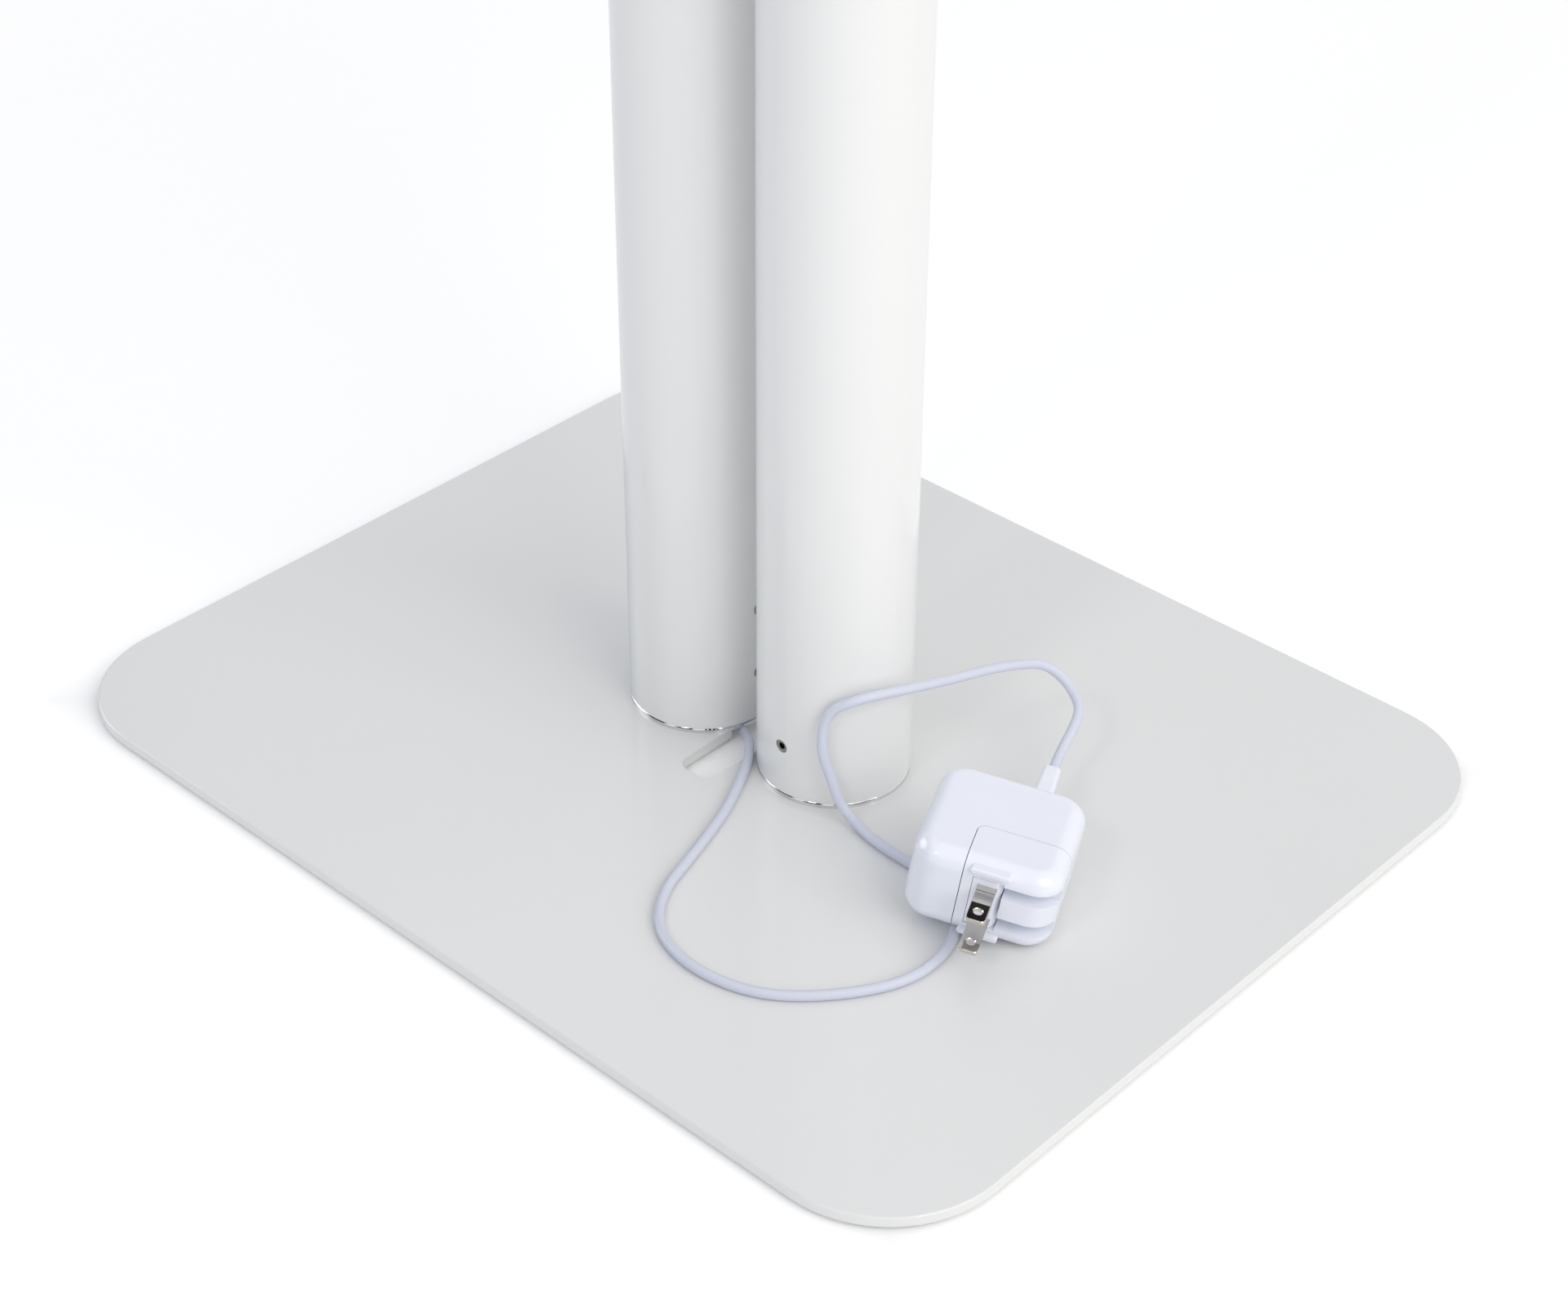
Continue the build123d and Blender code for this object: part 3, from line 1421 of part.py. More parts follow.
with BuildPart() as usb_shell:
    with BuildSketch(away):
        Rectangle(usb_shell_width, usb_shell_height)
    extrude(amount=-usb_shell_length)
    with BuildSketch(away.offset(-usb_shell_length)):
        Rectangle(
            usb_shell_width - 2 * usb_shell_wall, usb_shell_height - 2 * usb_shell_wall
        )
    extrude(amount=usb_shell_length - usb_shell_wall, mode=Mode.SUBTRACT)
usb_shell.part.label = "usb_shell"
export_step(usb_shell.part.moved(charger_frame), "parts/usb_shell.step")

# Places that the joints and the cord take from this source
plug_end = charger_frame * Location((port_x, grip_start_y + usb_grip_length, 0))
plug_next = charger_frame * Location((port_x, charger_side + usb_grip_length, 0))
print("plug end", plug_end.position, "towards", (plug_next.position - plug_end.position).normalized())
fold_place = charger_frame * Location((blade_x, pivot_y, 0))
print("fold axis at", fold_place.position, "along", Plane(fold_place).z_dir)
print("height clamp at", clamp_height, "pivot at", pivot_z, "hinge at", tray_front, hinge_z)
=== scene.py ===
import json
from math import cos, pi, radians, sin

import bmesh
import bpy
from mathutils import Matrix, Vector


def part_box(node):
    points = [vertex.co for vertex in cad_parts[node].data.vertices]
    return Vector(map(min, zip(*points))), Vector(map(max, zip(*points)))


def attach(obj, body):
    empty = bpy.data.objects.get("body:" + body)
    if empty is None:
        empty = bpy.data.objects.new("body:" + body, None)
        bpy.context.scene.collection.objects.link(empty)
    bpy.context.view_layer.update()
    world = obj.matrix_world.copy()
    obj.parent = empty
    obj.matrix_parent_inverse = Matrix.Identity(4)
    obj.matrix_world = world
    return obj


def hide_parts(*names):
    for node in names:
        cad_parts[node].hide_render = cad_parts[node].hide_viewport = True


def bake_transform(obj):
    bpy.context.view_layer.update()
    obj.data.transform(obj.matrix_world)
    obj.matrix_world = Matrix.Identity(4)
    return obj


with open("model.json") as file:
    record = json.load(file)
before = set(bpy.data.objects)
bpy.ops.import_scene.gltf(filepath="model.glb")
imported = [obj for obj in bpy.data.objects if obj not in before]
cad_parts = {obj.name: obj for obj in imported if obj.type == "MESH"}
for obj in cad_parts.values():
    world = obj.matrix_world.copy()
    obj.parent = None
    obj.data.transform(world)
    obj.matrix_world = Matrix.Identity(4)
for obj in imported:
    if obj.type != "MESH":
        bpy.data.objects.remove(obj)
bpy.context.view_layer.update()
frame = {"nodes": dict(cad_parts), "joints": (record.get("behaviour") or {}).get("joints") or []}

collection = bpy.context.scene.collection
MM = 0.001


# Foot pads. Six moulded rubber discs glued under the plate, each with a dished face and
# one ring groove, so that it grips the floor.


class Amount:
    """A number that varies over a surface, kept as a socket so that it can be used in sums."""

    def __init__(self, finish, socket):
        self.finish = finish
        self.socket = socket

    def __add__(self, other):
        return self.finish.maths("ADD", self, other)

    def __sub__(self, other):
        return self.finish.maths("SUBTRACT", self, other)

    def __rsub__(self, other):
        return self.finish.maths("SUBTRACT", other, self)

    def __mul__(self, other):
        return self.finish.maths("MULTIPLY", self, other)

    __radd__ = __add__
    __rmul__ = __mul__


class Finish:
    """A finish of the stand: its colour, roughness and relief vary over the surface."""

    def __init__(self, name, slot, **fixed):
        self.slot = slot
        self.material = bpy.data.materials.new(name)
        self.material.use_nodes = True
        self.tree = self.material.node_tree
        self.shader = self.tree.nodes["Principled BSDF"]
        for socket, amount in fixed.items():
            self.shader.inputs[socket.replace("_", " ")].default_value = amount

    def join(self, amount, socket):
        """Feeds a socket: by a link where the amount varies, or else by its value."""
        if isinstance(amount, Amount):
            self.tree.links.new(amount.socket, socket)
        else:
            socket.default_value = amount

    def node(self, kind, settings=(), inputs=(), output=0):
        """Adds a node of a kind, with its settings and inputs, and gives one output."""
        made = self.tree.nodes.new(kind)
        for name, choice in dict(settings).items():
            if name == "stops":
                ramp = made.color_ramp.elements
                while len(ramp) < len(choice):
                    ramp.new(1.0)
                for stop, (place, colour) in zip(ramp, choice):
                    stop.position = place
                    stop.color = colour
            else:
                setattr(made, name, choice)
        for name, amount in dict(inputs).items():
            self.join(amount, made.inputs[name])
        return None if output is None else Amount(self, made.outputs[output])

    def maths(self, operation, *numbers):
        return self.node("ShaderNodeMath", {"operation": operation}, dict(enumerate(numbers)))

    def place(self, size, stretch=(1, 1, 1)):
        """Where a point of the surface is, counted in lengths of `size` metres."""
        where = self.node("ShaderNodeTexCoord", output="Object")
        scale = [share / size for share in stretch]
        return self.node("ShaderNodeMapping", {}, {"Vector": where, "Scale": scale})

    def grain(self, size, stretch=(1, 1, 1), detail=2.0):
        """Even noise, from 0 to 1, with lumps of about `size` metres."""
        inputs = {"Vector": self.place(size, stretch), "Scale": 1.0, "Detail": detail}
        return self.node("ShaderNodeTexNoise", {"normalize": True}, inputs)

    def steps(self, share, *stops):
        """A number taken through stops of (place, value)."""
        ramp = [(place, (value, value, value, 1)) for place, value in stops]
        return self.node("ShaderNodeValToRGB", {"stops": ramp}, {"Fac": share})

    def colour(self, share, first, second):
        """The surface's colour, from `first` to `second` as share goes from 0 to 1."""
        mixed = self.node(
            "ShaderNodeMix",
            {"data_type": "RGBA"},
            {0: share, 6: (*first, 1), 7: (*second, 1)},
            output=2,
        )
        self.join(mixed, self.shader.inputs["Base Color"])

    def roughness(self, amount):
        self.join(amount, self.shader.inputs["Roughness"])

    def relief(self, height, depth):
        """Bumps `depth` metres high where height goes from 0 to 1."""
        inputs = {"Strength": 1.0, "Distance": depth, "Height": height}
        self.join(self.node("ShaderNodeBump", {}, inputs), self.shader.inputs["Normal"])


def box(node):
    """A CAD node's lowest and highest corners, in millimetres."""
    return [[length / MM for length in corner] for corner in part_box(node)]


def coat(finish, *nodes):
    """Gives CAD nodes a finish."""
    for node in nodes:
        for slot in frame["nodes"][node].material_slots:
            slot.material = finish.material


def outline(width, height, corner, steps=8):
    """A rounded rectangle about the origin, as (across, along) points."""
    points = []
    for side_x, side_y, start in ((1, 1, 0), (-1, 1, 1), (-1, -1, 2), (1, -1, 3)):
        for step in range(steps + 1):
            angle = pi / 2 * (start + step / steps)
            points.append(
                (
                    side_x * (width / 2 - corner) + corner * cos(angle),
                    side_y * (height / 2 - corner) + corner * sin(angle),
                )
            )
    return points


def circle(radius, steps=48):
    """Points round the origin."""
    turns = [2 * pi * step / steps for step in range(steps)]
    return [(radius * cos(turn), radius * sin(turn)) for turn in turns]


def skin(mesh, rings, looped=False):
    """Adds a closed skin over rings of equally many points to a bmesh."""
    rows = [[mesh.verts.new(point) for point in ring] for ring in rings]
    following = rows[1:] + rows[:1] if looped else rows[1:]
    for row, after in zip(rows, following):
        count = len(row)
        for i in range(count):
            j = (i + 1) % count
            mesh.faces.new((row[i], row[j], after[j], after[i]))
    if not looped:
        mesh.faces.new(rows[0])
        mesh.faces.new(rows[-1])


def piece(name, mesh, finish, body, *nodes, crease=35):
    """A piece of the stand that moves with a body and is shown instead of some CAD nodes."""
    bmesh.ops.recalc_face_normals(mesh, faces=mesh.faces)
    data = bpy.data.meshes.new(name)
    mesh.to_mesh(data)
    mesh.free()
    data.shade_smooth()
    data.set_sharp_from_angle(angle=radians(crease))
    data.materials.append(finish.material)
    made = bpy.data.objects.new(name, data)
    collection.objects.link(made)
    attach(made, body)
    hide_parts(*nodes)
    return made


rubber = Finish("black_rubber", "black_rubber", IOR=1.45, Specular_IOR_Level=0.35)
rubber_grain = rubber.grain(0.5 * MM, detail=4.0)
rubber_dust = rubber.grain(9 * MM, detail=3.0)
rubber.colour(rubber_dust, (0.022, 0.022, 0.024), (0.05, 0.05, 0.052))
rubber.roughness(0.62 + 0.2 * rubber_grain)
rubber.relief(rubber_grain, 0.02 * MM)

plate_half_x, plate_half_y = box("base_plate")[1][:2]
pad_inset = 34.0
pad_reach_x = plate_half_x - pad_inset
pad_reach_y = plate_half_y - pad_inset
pad_radius = 11.0
pad_profile = [
    (2.0, 0.5),
    (5.5, 0.5),
    (6.2, 0.05),
    (7.4, 0.05),
    (7.8, 0.4),
    (8.5, 0.4),
    (8.9, 0.0),
    (10.3, 0.0),
    (pad_radius, 0.7),
    (pad_radius, 1.5),
]
pads = bmesh.new()
for pad_x in (-pad_reach_x, 0, pad_reach_x):
    for pad_y in (-pad_reach_y, pad_reach_y):
        skin(
            pads,
            [
                [((pad_x + x) * MM, (pad_y + y) * MM, z * MM) for x, y in circle(radius)]
                for radius, z in pad_profile
            ],
        )
piece("foot_pad_discs", pads, rubber, "stand", "foot_pads")


# Base plate. Laser-cut steel, 4 mm thick, with a cross-shaped cable cut-out, sprayed with
# a glossy white powder that flows out smooth and only faintly rippled.


def powder_coat(name, first, second, gloss):
    """Glossy sprayed powder: an almost even colour, and a faint ripple in the reflections."""
    paint = Finish(name, "white_paint", IOR=1.5, Coat_Weight=0.5, Coat_Roughness=gloss)
    paint.colour(paint.grain(90 * MM, detail=1.0), first, second)
    paint.roughness(0.3 + 0.02 * paint.grain(60 * MM, detail=1.0))
    paint.relief(paint.grain(1.3 * MM, detail=0.0), 0.0012 * MM)
    return paint


plate_coat = powder_coat("plate_powder_coat", (0.785, 0.79, 0.785), (0.797, 0.802, 0.797), 0.1)
coat(plate_coat, "base_plate")


# Post plugs and screws. Aluminium bar, turned and polished, pushed into the tubes' feet;
# black screws from under the plate hold each plug, and small set screws lock every tube.

polished = Finish("polished_aluminium", "polished_plug", Metallic=1.0)
turning = polished.grain(0.35 * MM, stretch=(0.01, 0.01, 1), detail=1.0)
polished.colour(turning, (0.68, 0.68, 0.69), (0.78, 0.78, 0.79))
polished.roughness(0.03 + 0.05 * turning)
polished.relief(turning, 0.002 * MM)
coat(polished, "left_post_plug", "right_post_plug")

black_oxide = Finish("black_oxide", "black_screw", Metallic=0.85)
oxide = black_oxide.grain(0.8 * MM, detail=3.0)
black_oxide.colour(oxide, (0.05, 0.05, 0.055), (0.17, 0.165, 0.16))
black_oxide.roughness(0.32 + 0.2 * oxide)
black_oxide.relief(oxide, 0.01 * MM)
coat(black_oxide, "plug_screws", "yoke_set_screws", "head_set_screws")

dark_steel = Finish("dark_steel", "black_screw", Metallic=1.0)
tempering = dark_steel.grain(0.9 * MM, detail=3.0)
dark_steel.colour(tempering, (0.2, 0.195, 0.19), (0.4, 0.39, 0.375))
dark_steel.roughness(0.18 + 0.16 * tempering)
dark_steel.relief(tempering, 0.006 * MM)
coat(dark_steel, "post_set_screws")


# Posts and yoke. Two steel tubes and the cast yoke that ties their tops, coated alike so that
# all three match, in the plate's white powder coat painted lighter: painted light for the light
# the posts catch.

post_coat_painted_lighter = powder_coat("post_powder_coat_painted_lighter", (0.842, 0.847, 0.837), (0.85, 0.854, 0.845), 0.06)
coat(post_coat_painted_lighter, "left_post_tube", "right_post_tube", "post_yoke")


# Bushes, glides, clamp shoe and washers. Moulded in black nylon and turned to size, which
# leaves fine tool marks; the inner tubes and the holder run on them without scratching.

nylon = Finish("black_nylon", "black_nylon", IOR=1.53, Specular_IOR_Level=0.4)
tool_marks = nylon.grain(0.3 * MM, stretch=(0.1, 0.1, 1), detail=1.0)
nylon.colour(nylon.grain(6 * MM), (0.035, 0.035, 0.04), (0.06, 0.06, 0.065))
nylon.roughness(0.38 + 0.2 * tool_marks)
nylon.relief(tool_marks, 0.01 * MM)
coat(
    nylon,
    "left_guide_bush",
    "right_guide_bush",
    "left_glide",
    "right_glide",
    "clamp_shoe",
    "tilt_washers",
    "turn_washer",
)


# Knobs and bright fixings. The two lobed knobs are moulded in dark grey nylon with a fine
# spark grain; screws, pins and the retaining ring are bright zinc-plated steel.

knob_grey = Finish("grey_knob_plastic", "grey_knob", IOR=1.5, Specular_IOR_Level=0.45)
spark = knob_grey.grain(0.45 * MM, detail=3.0)
knob_grey.colour(knob_grey.grain(12 * MM), (0.13, 0.134, 0.14), (0.18, 0.185, 0.19))
knob_grey.roughness(0.48 + 0.2 * spark)
knob_grey.relief(spark, 0.03 * MM)
coat(knob_grey, "height_knob", "tilt_knob")

zinc = Finish("bright_zinc", "bright_steel", Metallic=1.0)
plating = zinc.grain(2.2 * MM, detail=4.0)
zinc.colour(plating, (0.6, 0.62, 0.66), (0.76, 0.75, 0.73))
zinc.roughness(0.2 + 0.2 * plating)
zinc.relief(zinc.grain(0.3 * MM), 0.004 * MM)
coat(zinc, "height_screw", "tilt_bolt", "tilt_stud", "hub_screws", "spindle_ring", "hinge_pins")


# Cable inside the stand. One sheathed cable: through the foot, in a loose spiral up the
# left post that the mast draws out, over the tilt axis, through the hollow spindle and
# behind the tablet to its plug.

sheath = Finish("cord_sheath", "cord_sheath", IOR=1.48, Specular_IOR_Level=0.45)
sheath_grain = sheath.grain(0.35 * MM, detail=2.0)
sheath.colour(sheath.grain(14 * MM, detail=3.0), (0.635, 0.665, 0.775), (0.675, 0.705, 0.805))
sheath.roughness(0.34 + 0.12 * sheath_grain)
sheath.relief(sheath_grain, 0.006 * MM)

cable_radius = 1.75 * MM


def cable_line(name, points, radius=cable_radius):
    """A smooth round cable over listed points in millimetres, as a curve object."""
    curve = bpy.data.curves.new(name, "CURVE")
    curve.dimensions = "3D"
    curve.bevel_depth = radius
    curve.bevel_resolution = 6
    curve.resolution_u = 12
    curve.use_fill_caps = True
    spline = curve.splines.new("NURBS")
    spline.points.add(len(points) - 1)
    for control, point in zip(spline.points, points):
        control.co = (*[length * MM for length in point], 1)
    spline.order_u = 3
    spline.use_endpoint_u = True
    curve.materials.append(sheath.material)
    made = bpy.data.objects.new(name, curve)
    collection.objects.link(made)
    return made


def inner_cable(name, points, body, node):
    """A length of cable that is fixed inside one body."""
    made = cable_line(name, points)
    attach(made, body)
    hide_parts(node)


def joint_cable(name, points, node, start, end):
    """A length of cable between two bodies, made into a fixed mesh that does not move with
    either.
    """
    line = cable_line(name + "_line", points)
    data = bpy.data.meshes.new_from_object(line)
    bpy.data.objects.remove(line)
    data.shade_smooth()
    made = bpy.data.objects.new(name, data)
    collection.objects.link(made)
    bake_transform(made)
    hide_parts(node)


post_low, post_high = box("left_post_tube")
post_x = (post_low[0] + post_high[0]) / 2
plug_cable_y = 1.41
plug_cable_top = box("foot_cable")[1][2]
inner_cable(
    "foot_cable_run",
    [
        (-20, -1.5, 3.4),
        (post_x, plug_cable_y, 3.4),
        (post_x, plug_cable_y, 16),
        (post_x, plug_cable_y, plug_cable_top),
    ],
    "stand",
    "foot_cable",
)

mast_cable_foot = box("post_cable")[1][2]
lead = 15.0
spiral_radius = 14.0
spiral_turns = 7
spiral_steps = 14
spiral_foot = plug_cable_top + 2 * lead
spiral_top = mast_cable_foot - 2 * lead
spiral = [
    (
        post_x + spiral_radius * cos(2 * pi * step / spiral_steps),
        spiral_radius * sin(2 * pi * step / spiral_steps),
        spiral_foot + (spiral_top - spiral_foot) * step / (spiral_turns * spiral_steps),
    )
    for step in range(spiral_turns * spiral_steps + 1)
]
joint_cable(
    "post_cable_spiral",
    [
        (post_x, plug_cable_y, plug_cable_top),
        (post_x, plug_cable_y, plug_cable_top + lead),
        *spiral,
        (post_x, 0, mast_cable_foot - lead),
        (post_x, 0, mast_cable_foot),
    ],
    "post_cable",
    start=(post_x * MM, 0, plug_cable_top * MM),
    end=(post_x * MM, 0, mast_cable_foot * MM),
)

tilt_cable_foot = box("tilt_cable")[0][2]
head_channel_z = mast_cable_foot + 14
inner_cable(
    "head_cable_run",
    [
        (post_x, 0, mast_cable_foot),
        (post_x, 0, head_channel_z),
        (-11, 0, head_channel_z),
        (0, 0, head_channel_z),
        (0, 0, 738),
        (0, 0, tilt_cable_foot),
    ],
    "mast",
    "head_cable",
)

tilt_joint = next(joint for joint in frame["joints"] if joint["name"] == "tilt")
pivot_z = tilt_joint["pos_m"][2] / MM
hub_low, hub_high = box("hub_cable")
hub_front = hub_low[1]
hub_back = hub_high[1]
bend_foot_z = tilt_cable_foot + 2
bend_end_y = hub_back + 4
joint_cable(
    "tilt_cable_bend",
    [
        (0, 0, tilt_cable_foot),
        (0, 0, 760),
        (0, 0, pivot_z),
        (0, -12, pivot_z),
        (0, hub_back, pivot_z),
    ],
    "tilt_cable",
    start=(0, 0, bend_foot_z * MM),
    end=(0, bend_end_y * MM, pivot_z * MM),
)
inner_cable(
    "hub_cable_run",
    [(0, hub_back, pivot_z), (0, -26, pivot_z), (0, hub_front, pivot_z)],
    "tilt_arm",
    "hub_cable",
)

turning_gap = 0.2
inner_cable(
    "holder_cable_run",
    [
        (0, hub_front - turning_gap, pivot_z),
        (0, -44.4, pivot_z),
        (12, -44.4, pivot_z - 2.8),
        (60, -44.4, pivot_z - 14),
        (108, -44.4, pivot_z - 34),
        (122, -45.0, pivot_z - 33.4),
        (131, -45.3, pivot_z - 33),
        (131, -45.3, pivot_z - 23),
        (131, -45.3, pivot_z - 10),
    ],
    "holder",
    "holder_cable",
)


# Mast and head. Two drawn aluminium tubes, satin anodised, slide in the posts, and set
# screws hold them in the head block. The block and the tilt bracket on it are coated white
# like the posts, and a rubber grommet keeps the cable off the block's edge.

anodised = Finish("satin_anodised", "mast_tube", Metallic=1.0)
drawn = anodised.grain(0.25 * MM, stretch=(1, 1, 0.01), detail=2.0)
anodised.colour(drawn, (0.62, 0.63, 0.64), (0.76, 0.77, 0.78))
anodised.roughness(0.3 + 0.14 * drawn)
anodised.relief(drawn, 0.003 * MM)
coat(anodised, "left_inner_tube", "right_inner_tube")
# The block and bracket take the posts' coat, painted lighter than the plate as painted light.
coat(post_coat_painted_lighter, "head_block", "tilt_bracket")
coat(rubber, "head_grommet")


# Spindle. Turned steel, left bright, with a flange that the holder is screwed to; it
# turns in the tilt bracket and is bored for the cable.

turned_steel = Finish("turned_steel", "spindle_steel", Metallic=1.0)
facing = turned_steel.grain(0.3 * MM, stretch=(0.02, 1, 0.02), detail=1.0)
turned_steel.colour(facing, (0.52, 0.53, 0.55), (0.7, 0.71, 0.72))
turned_steel.roughness(0.22 + 0.14 * facing)
turned_steel.relief(facing, 0.004 * MM)
coat(turned_steel, "spindle")


# Holder tray and bezel. Injection-moulded white plastic with a fine satin grain from the
# mould; the bezel hangs on two pins and magnets hold it shut.

white_plastic = Finish("white_satin_plastic", "white_plastic", IOR=1.5)
mould_grain = white_plastic.grain(0.4 * MM, detail=3.0)
white_plastic.colour(white_plastic.grain(50 * MM), (0.8, 0.81, 0.8), (0.84, 0.85, 0.84))
white_plastic.roughness(0.36 + 0.14 * mould_grain)
white_plastic.relief(mould_grain, 0.014 * MM)
coat(white_plastic, "holder_tray", "front_bezel")

nickel_plate = Finish("magnet_nickel", "magnet_nickel", Metallic=1.0)
nickel_spots = nickel_plate.grain(1.2 * MM, detail=4.0)
nickel_plate.colour(nickel_spots, (0.62, 0.61, 0.58), (0.74, 0.73, 0.71))
nickel_plate.roughness(0.16 + 0.2 * nickel_spots)
nickel_plate.relief(nickel_spots, 0.004 * MM)
coat(nickel_plate, "tray_magnets", "bezel_magnets")


# Back pads. Four cut pieces of closed-cell foam, glued in the tray, that press the tablet
# forward; their cut edges are softly rounded and the faces slightly crowned.

foam = Finish("grey_foam", "grey_foam", IOR=1.4, Specular_IOR_Level=0.15)
cells = foam.node(
    "ShaderNodeTexVoronoi",
    {"feature": "F1"},
    {"Vector": foam.place(0.7 * MM), "Scale": 1.0, "Randomness": 1.0},
)
foam.colour(cells, (0.1, 0.1, 0.108), (0.2, 0.2, 0.21))
foam.roughness(0.85 + 0.1 * cells)
foam.relief(cells, 0.09 * MM)

pads_high = box("back_pads")[1]
tray_panel_y = pads_high[1]
foam_width = 60.0
foam_height = 30.0
foam_x = pads_high[0] - foam_width / 2
foam_z = pads_high[2] - pivot_z - foam_height / 2
foam_corner = 4.0
foam_profile = [
    (0.3, 0.0),
    (0.0, 0.6),
    (0.0, 2.6),
    (0.35, 3.2),
    (1.0, 3.6),
    (2.2, 3.82),
    (3.4, 3.9),
]
foam_pads = bmesh.new()
for pad_x in (-foam_x, foam_x):
    for pad_z in (-foam_z, foam_z):
        skin(
            foam_pads,
            [
                [
                    ((pad_x + x) * MM, (tray_panel_y - rise) * MM, (pivot_z + pad_z + z) * MM)
                    for x, z in outline(
                        foam_width - 2 * inset,
                        foam_height - 2 * inset,
                        foam_corner - inset,
                    )
                ]
                for inset, rise in foam_profile
            ],
        )
foam_pieces = piece("foam_back_pads", foam_pads, foam, "holder", "back_pads", crease=60)


# Tablet stops. Eight moulded rubber blocks, glued between the tray's wall and the tablet,
# each with rounded edges and a shallow sink on its face.

stop_profile = [
    (0.3, 0.0),
    (0.0, 0.5),
    (0.0, 8.9),
    (0.35, 9.6),
    (1.0, 10.0),
    (2.2, 10.0),
    (2.8, 9.5),
    (4.0, 9.3),
]
stops_high = box("tablet_stops")[1]
tablet_width = 250.0
tablet_height = 174.0
stop_share = 0.32
stop_length = 34.0
stop_corner = 1.6
least_corner = 0.4
side_stop = 22.7
end_stop = 12.7
side_stop_x = stops_high[0] - side_stop / 2
side_stop_z = stop_share * tablet_height
end_stop_x = stop_share * tablet_width
end_stop_z = stops_high[2] - pivot_z - end_stop / 2
quarters = [(x, z) for x in (-1, 1) for z in (-1, 1)]
stop_places = [
    *((x * side_stop_x, z * side_stop_z, side_stop, stop_length) for x, z in quarters),
    *((x * end_stop_x, z * end_stop_z, stop_length, end_stop) for x, z in quarters),
]
stops = bmesh.new()
for stop_x, stop_z, width, height in stop_places:
    skin(
        stops,
        [
            [
                ((stop_x + x) * MM, (tray_panel_y - rise) * MM, (pivot_z + stop_z + z) * MM)
                for x, z in outline(
                    width - 2 * inset,
                    height - 2 * inset,
                    max(stop_corner - inset, least_corner),
                    steps=4,
                )
            ]
            for inset, rise in stop_profile
        ],
    )
piece("moulded_tablet_stops", stops, rubber, "holder", "tablet_stops", crease=50)


# Window gasket. An extruded rubber strip stuck behind the bezel's window, with a soft lip
# that presses on the tablet's glass.

gasket_low, gasket_high = box("window_gasket")
gasket_width = gasket_high[0] - gasket_low[0]
gasket_height = gasket_high[2] - gasket_low[2]
gasket_front_y = gasket_low[1]
gasket_corner = 10.0
gasket_profile = [
    (0.0, 0.0),
    (0.0, 0.7),
    (0.6, 1.0),
    (1.6, 1.1),
    (2.4, 1.35),
    (3.0, 1.5),
    (3.6, 1.35),
    (4.4, 1.1),
    (5.4, 1.0),
    (6.0, 0.7),
    (6.0, 0.0),
]
gasket = bmesh.new()
skin(
    gasket,
    [
        [
            (x * MM, (gasket_front_y + rise) * MM, (pivot_z + z) * MM)
            for x, z in outline(
                gasket_width - 2 * inset, gasket_height - 2 * inset, gasket_corner - inset
            )
        ]
        for inset, rise in gasket_profile
    ],
    looped=True,
)
piece("gasket_strip", gasket, rubber, "bezel", "window_gasket", crease=50)


# Inside the charger. A green fibreglass board with a taped transformer, a sleeved
# capacitor, a nickel-plated USB socket and two brass contact pins.

board = Finish("green_board", "board_green", IOR=1.5, Coat_Weight=0.3)
weave = board.node(
    "ShaderNodeTexBrick",
    {"offset": 0.5},
    {
        "Vector": board.place(2.4 * MM),
        "Color1": (1, 1, 1, 1),
        "Color2": (0.9, 0.9, 0.9, 1),
        "Mortar": (0, 0, 0, 1),
        "Scale": 1.0,
        "Mortar Size": 0.05,
    },
    output="Fac",
)
board.colour(weave, (0.04, 0.19, 0.1), (0.09, 0.32, 0.18))
board.roughness(0.32 + 0.15 * board.grain(1.5 * MM))
board.relief(weave, 0.03 * MM)
coat(board, "charger_board")

tape = Finish("transformer_tape", "transformer_tape", IOR=1.48, Coat_Weight=0.4)
wraps = tape.node(
    "ShaderNodeTexWave",
    {"wave_type": "BANDS", "bands_direction": "Z"},
    {"Vector": tape.place(12 * MM), "Scale": 1.0, "Distortion": 0.6, "Detail": 1.0},
    output="Fac",
)
tape.colour(wraps, (0.62, 0.47, 0.07), (0.8, 0.68, 0.18))
tape.roughness(0.22 + 0.2 * tape.grain(3 * MM))
tape.relief(wraps, 0.08 * MM)
coat(tape, "transformer")

sleeve = Finish("capacitor_sleeve", "capacitor_can", IOR=1.5, Coat_Weight=0.5)
shrink = sleeve.grain(4 * MM, stretch=(1, 1, 0.3), detail=2.0)
sleeve.colour(shrink, (0.04, 0.045, 0.09), (0.1, 0.11, 0.17))
sleeve.roughness(0.25 + 0.15 * shrink)
sleeve.relief(shrink, 0.03 * MM)
coat(sleeve, "capacitor")

brass = Finish("contact_brass", "contact_brass", Metallic=1.0)
tarnish = brass.grain(1.5 * MM, detail=3.0)
brass.colour(tarnish, (0.72, 0.52, 0.2), (0.84, 0.68, 0.36))
brass.roughness(0.18 + 0.18 * tarnish)
brass.relief(tarnish, 0.004 * MM)
coat(brass, "contact_pins")


# Charger and plugs. Glossy bluish-white polycarbonate: two shells, the plug module in one
# corner, the blade carrier, and the cable's moulded grips.

charger_gloss = Finish("charger_gloss", "charger_white", IOR=1.55, Coat_Roughness=0.04)
flow = charger_gloss.grain(18 * MM, detail=2.0)
charger_gloss.colour(flow, (0.835, 0.86, 0.95), (0.865, 0.89, 0.965))
charger_gloss.roughness(0.16 + 0.06 * charger_gloss.grain(6 * MM))
charger_gloss.relief(charger_gloss.grain(3 * MM, detail=1.0), 0.003 * MM)
coat(
    charger_gloss,
    "charger_upper_shell",
    "charger_lower_shell",
    "plug_module",
    "blade_carrier",
    "usb_grip",
    "tablet_plug",
)


# Blades and metal shells. Stamped brass with bright nickel plate, a punched hole near each
# tip and rounded ends.

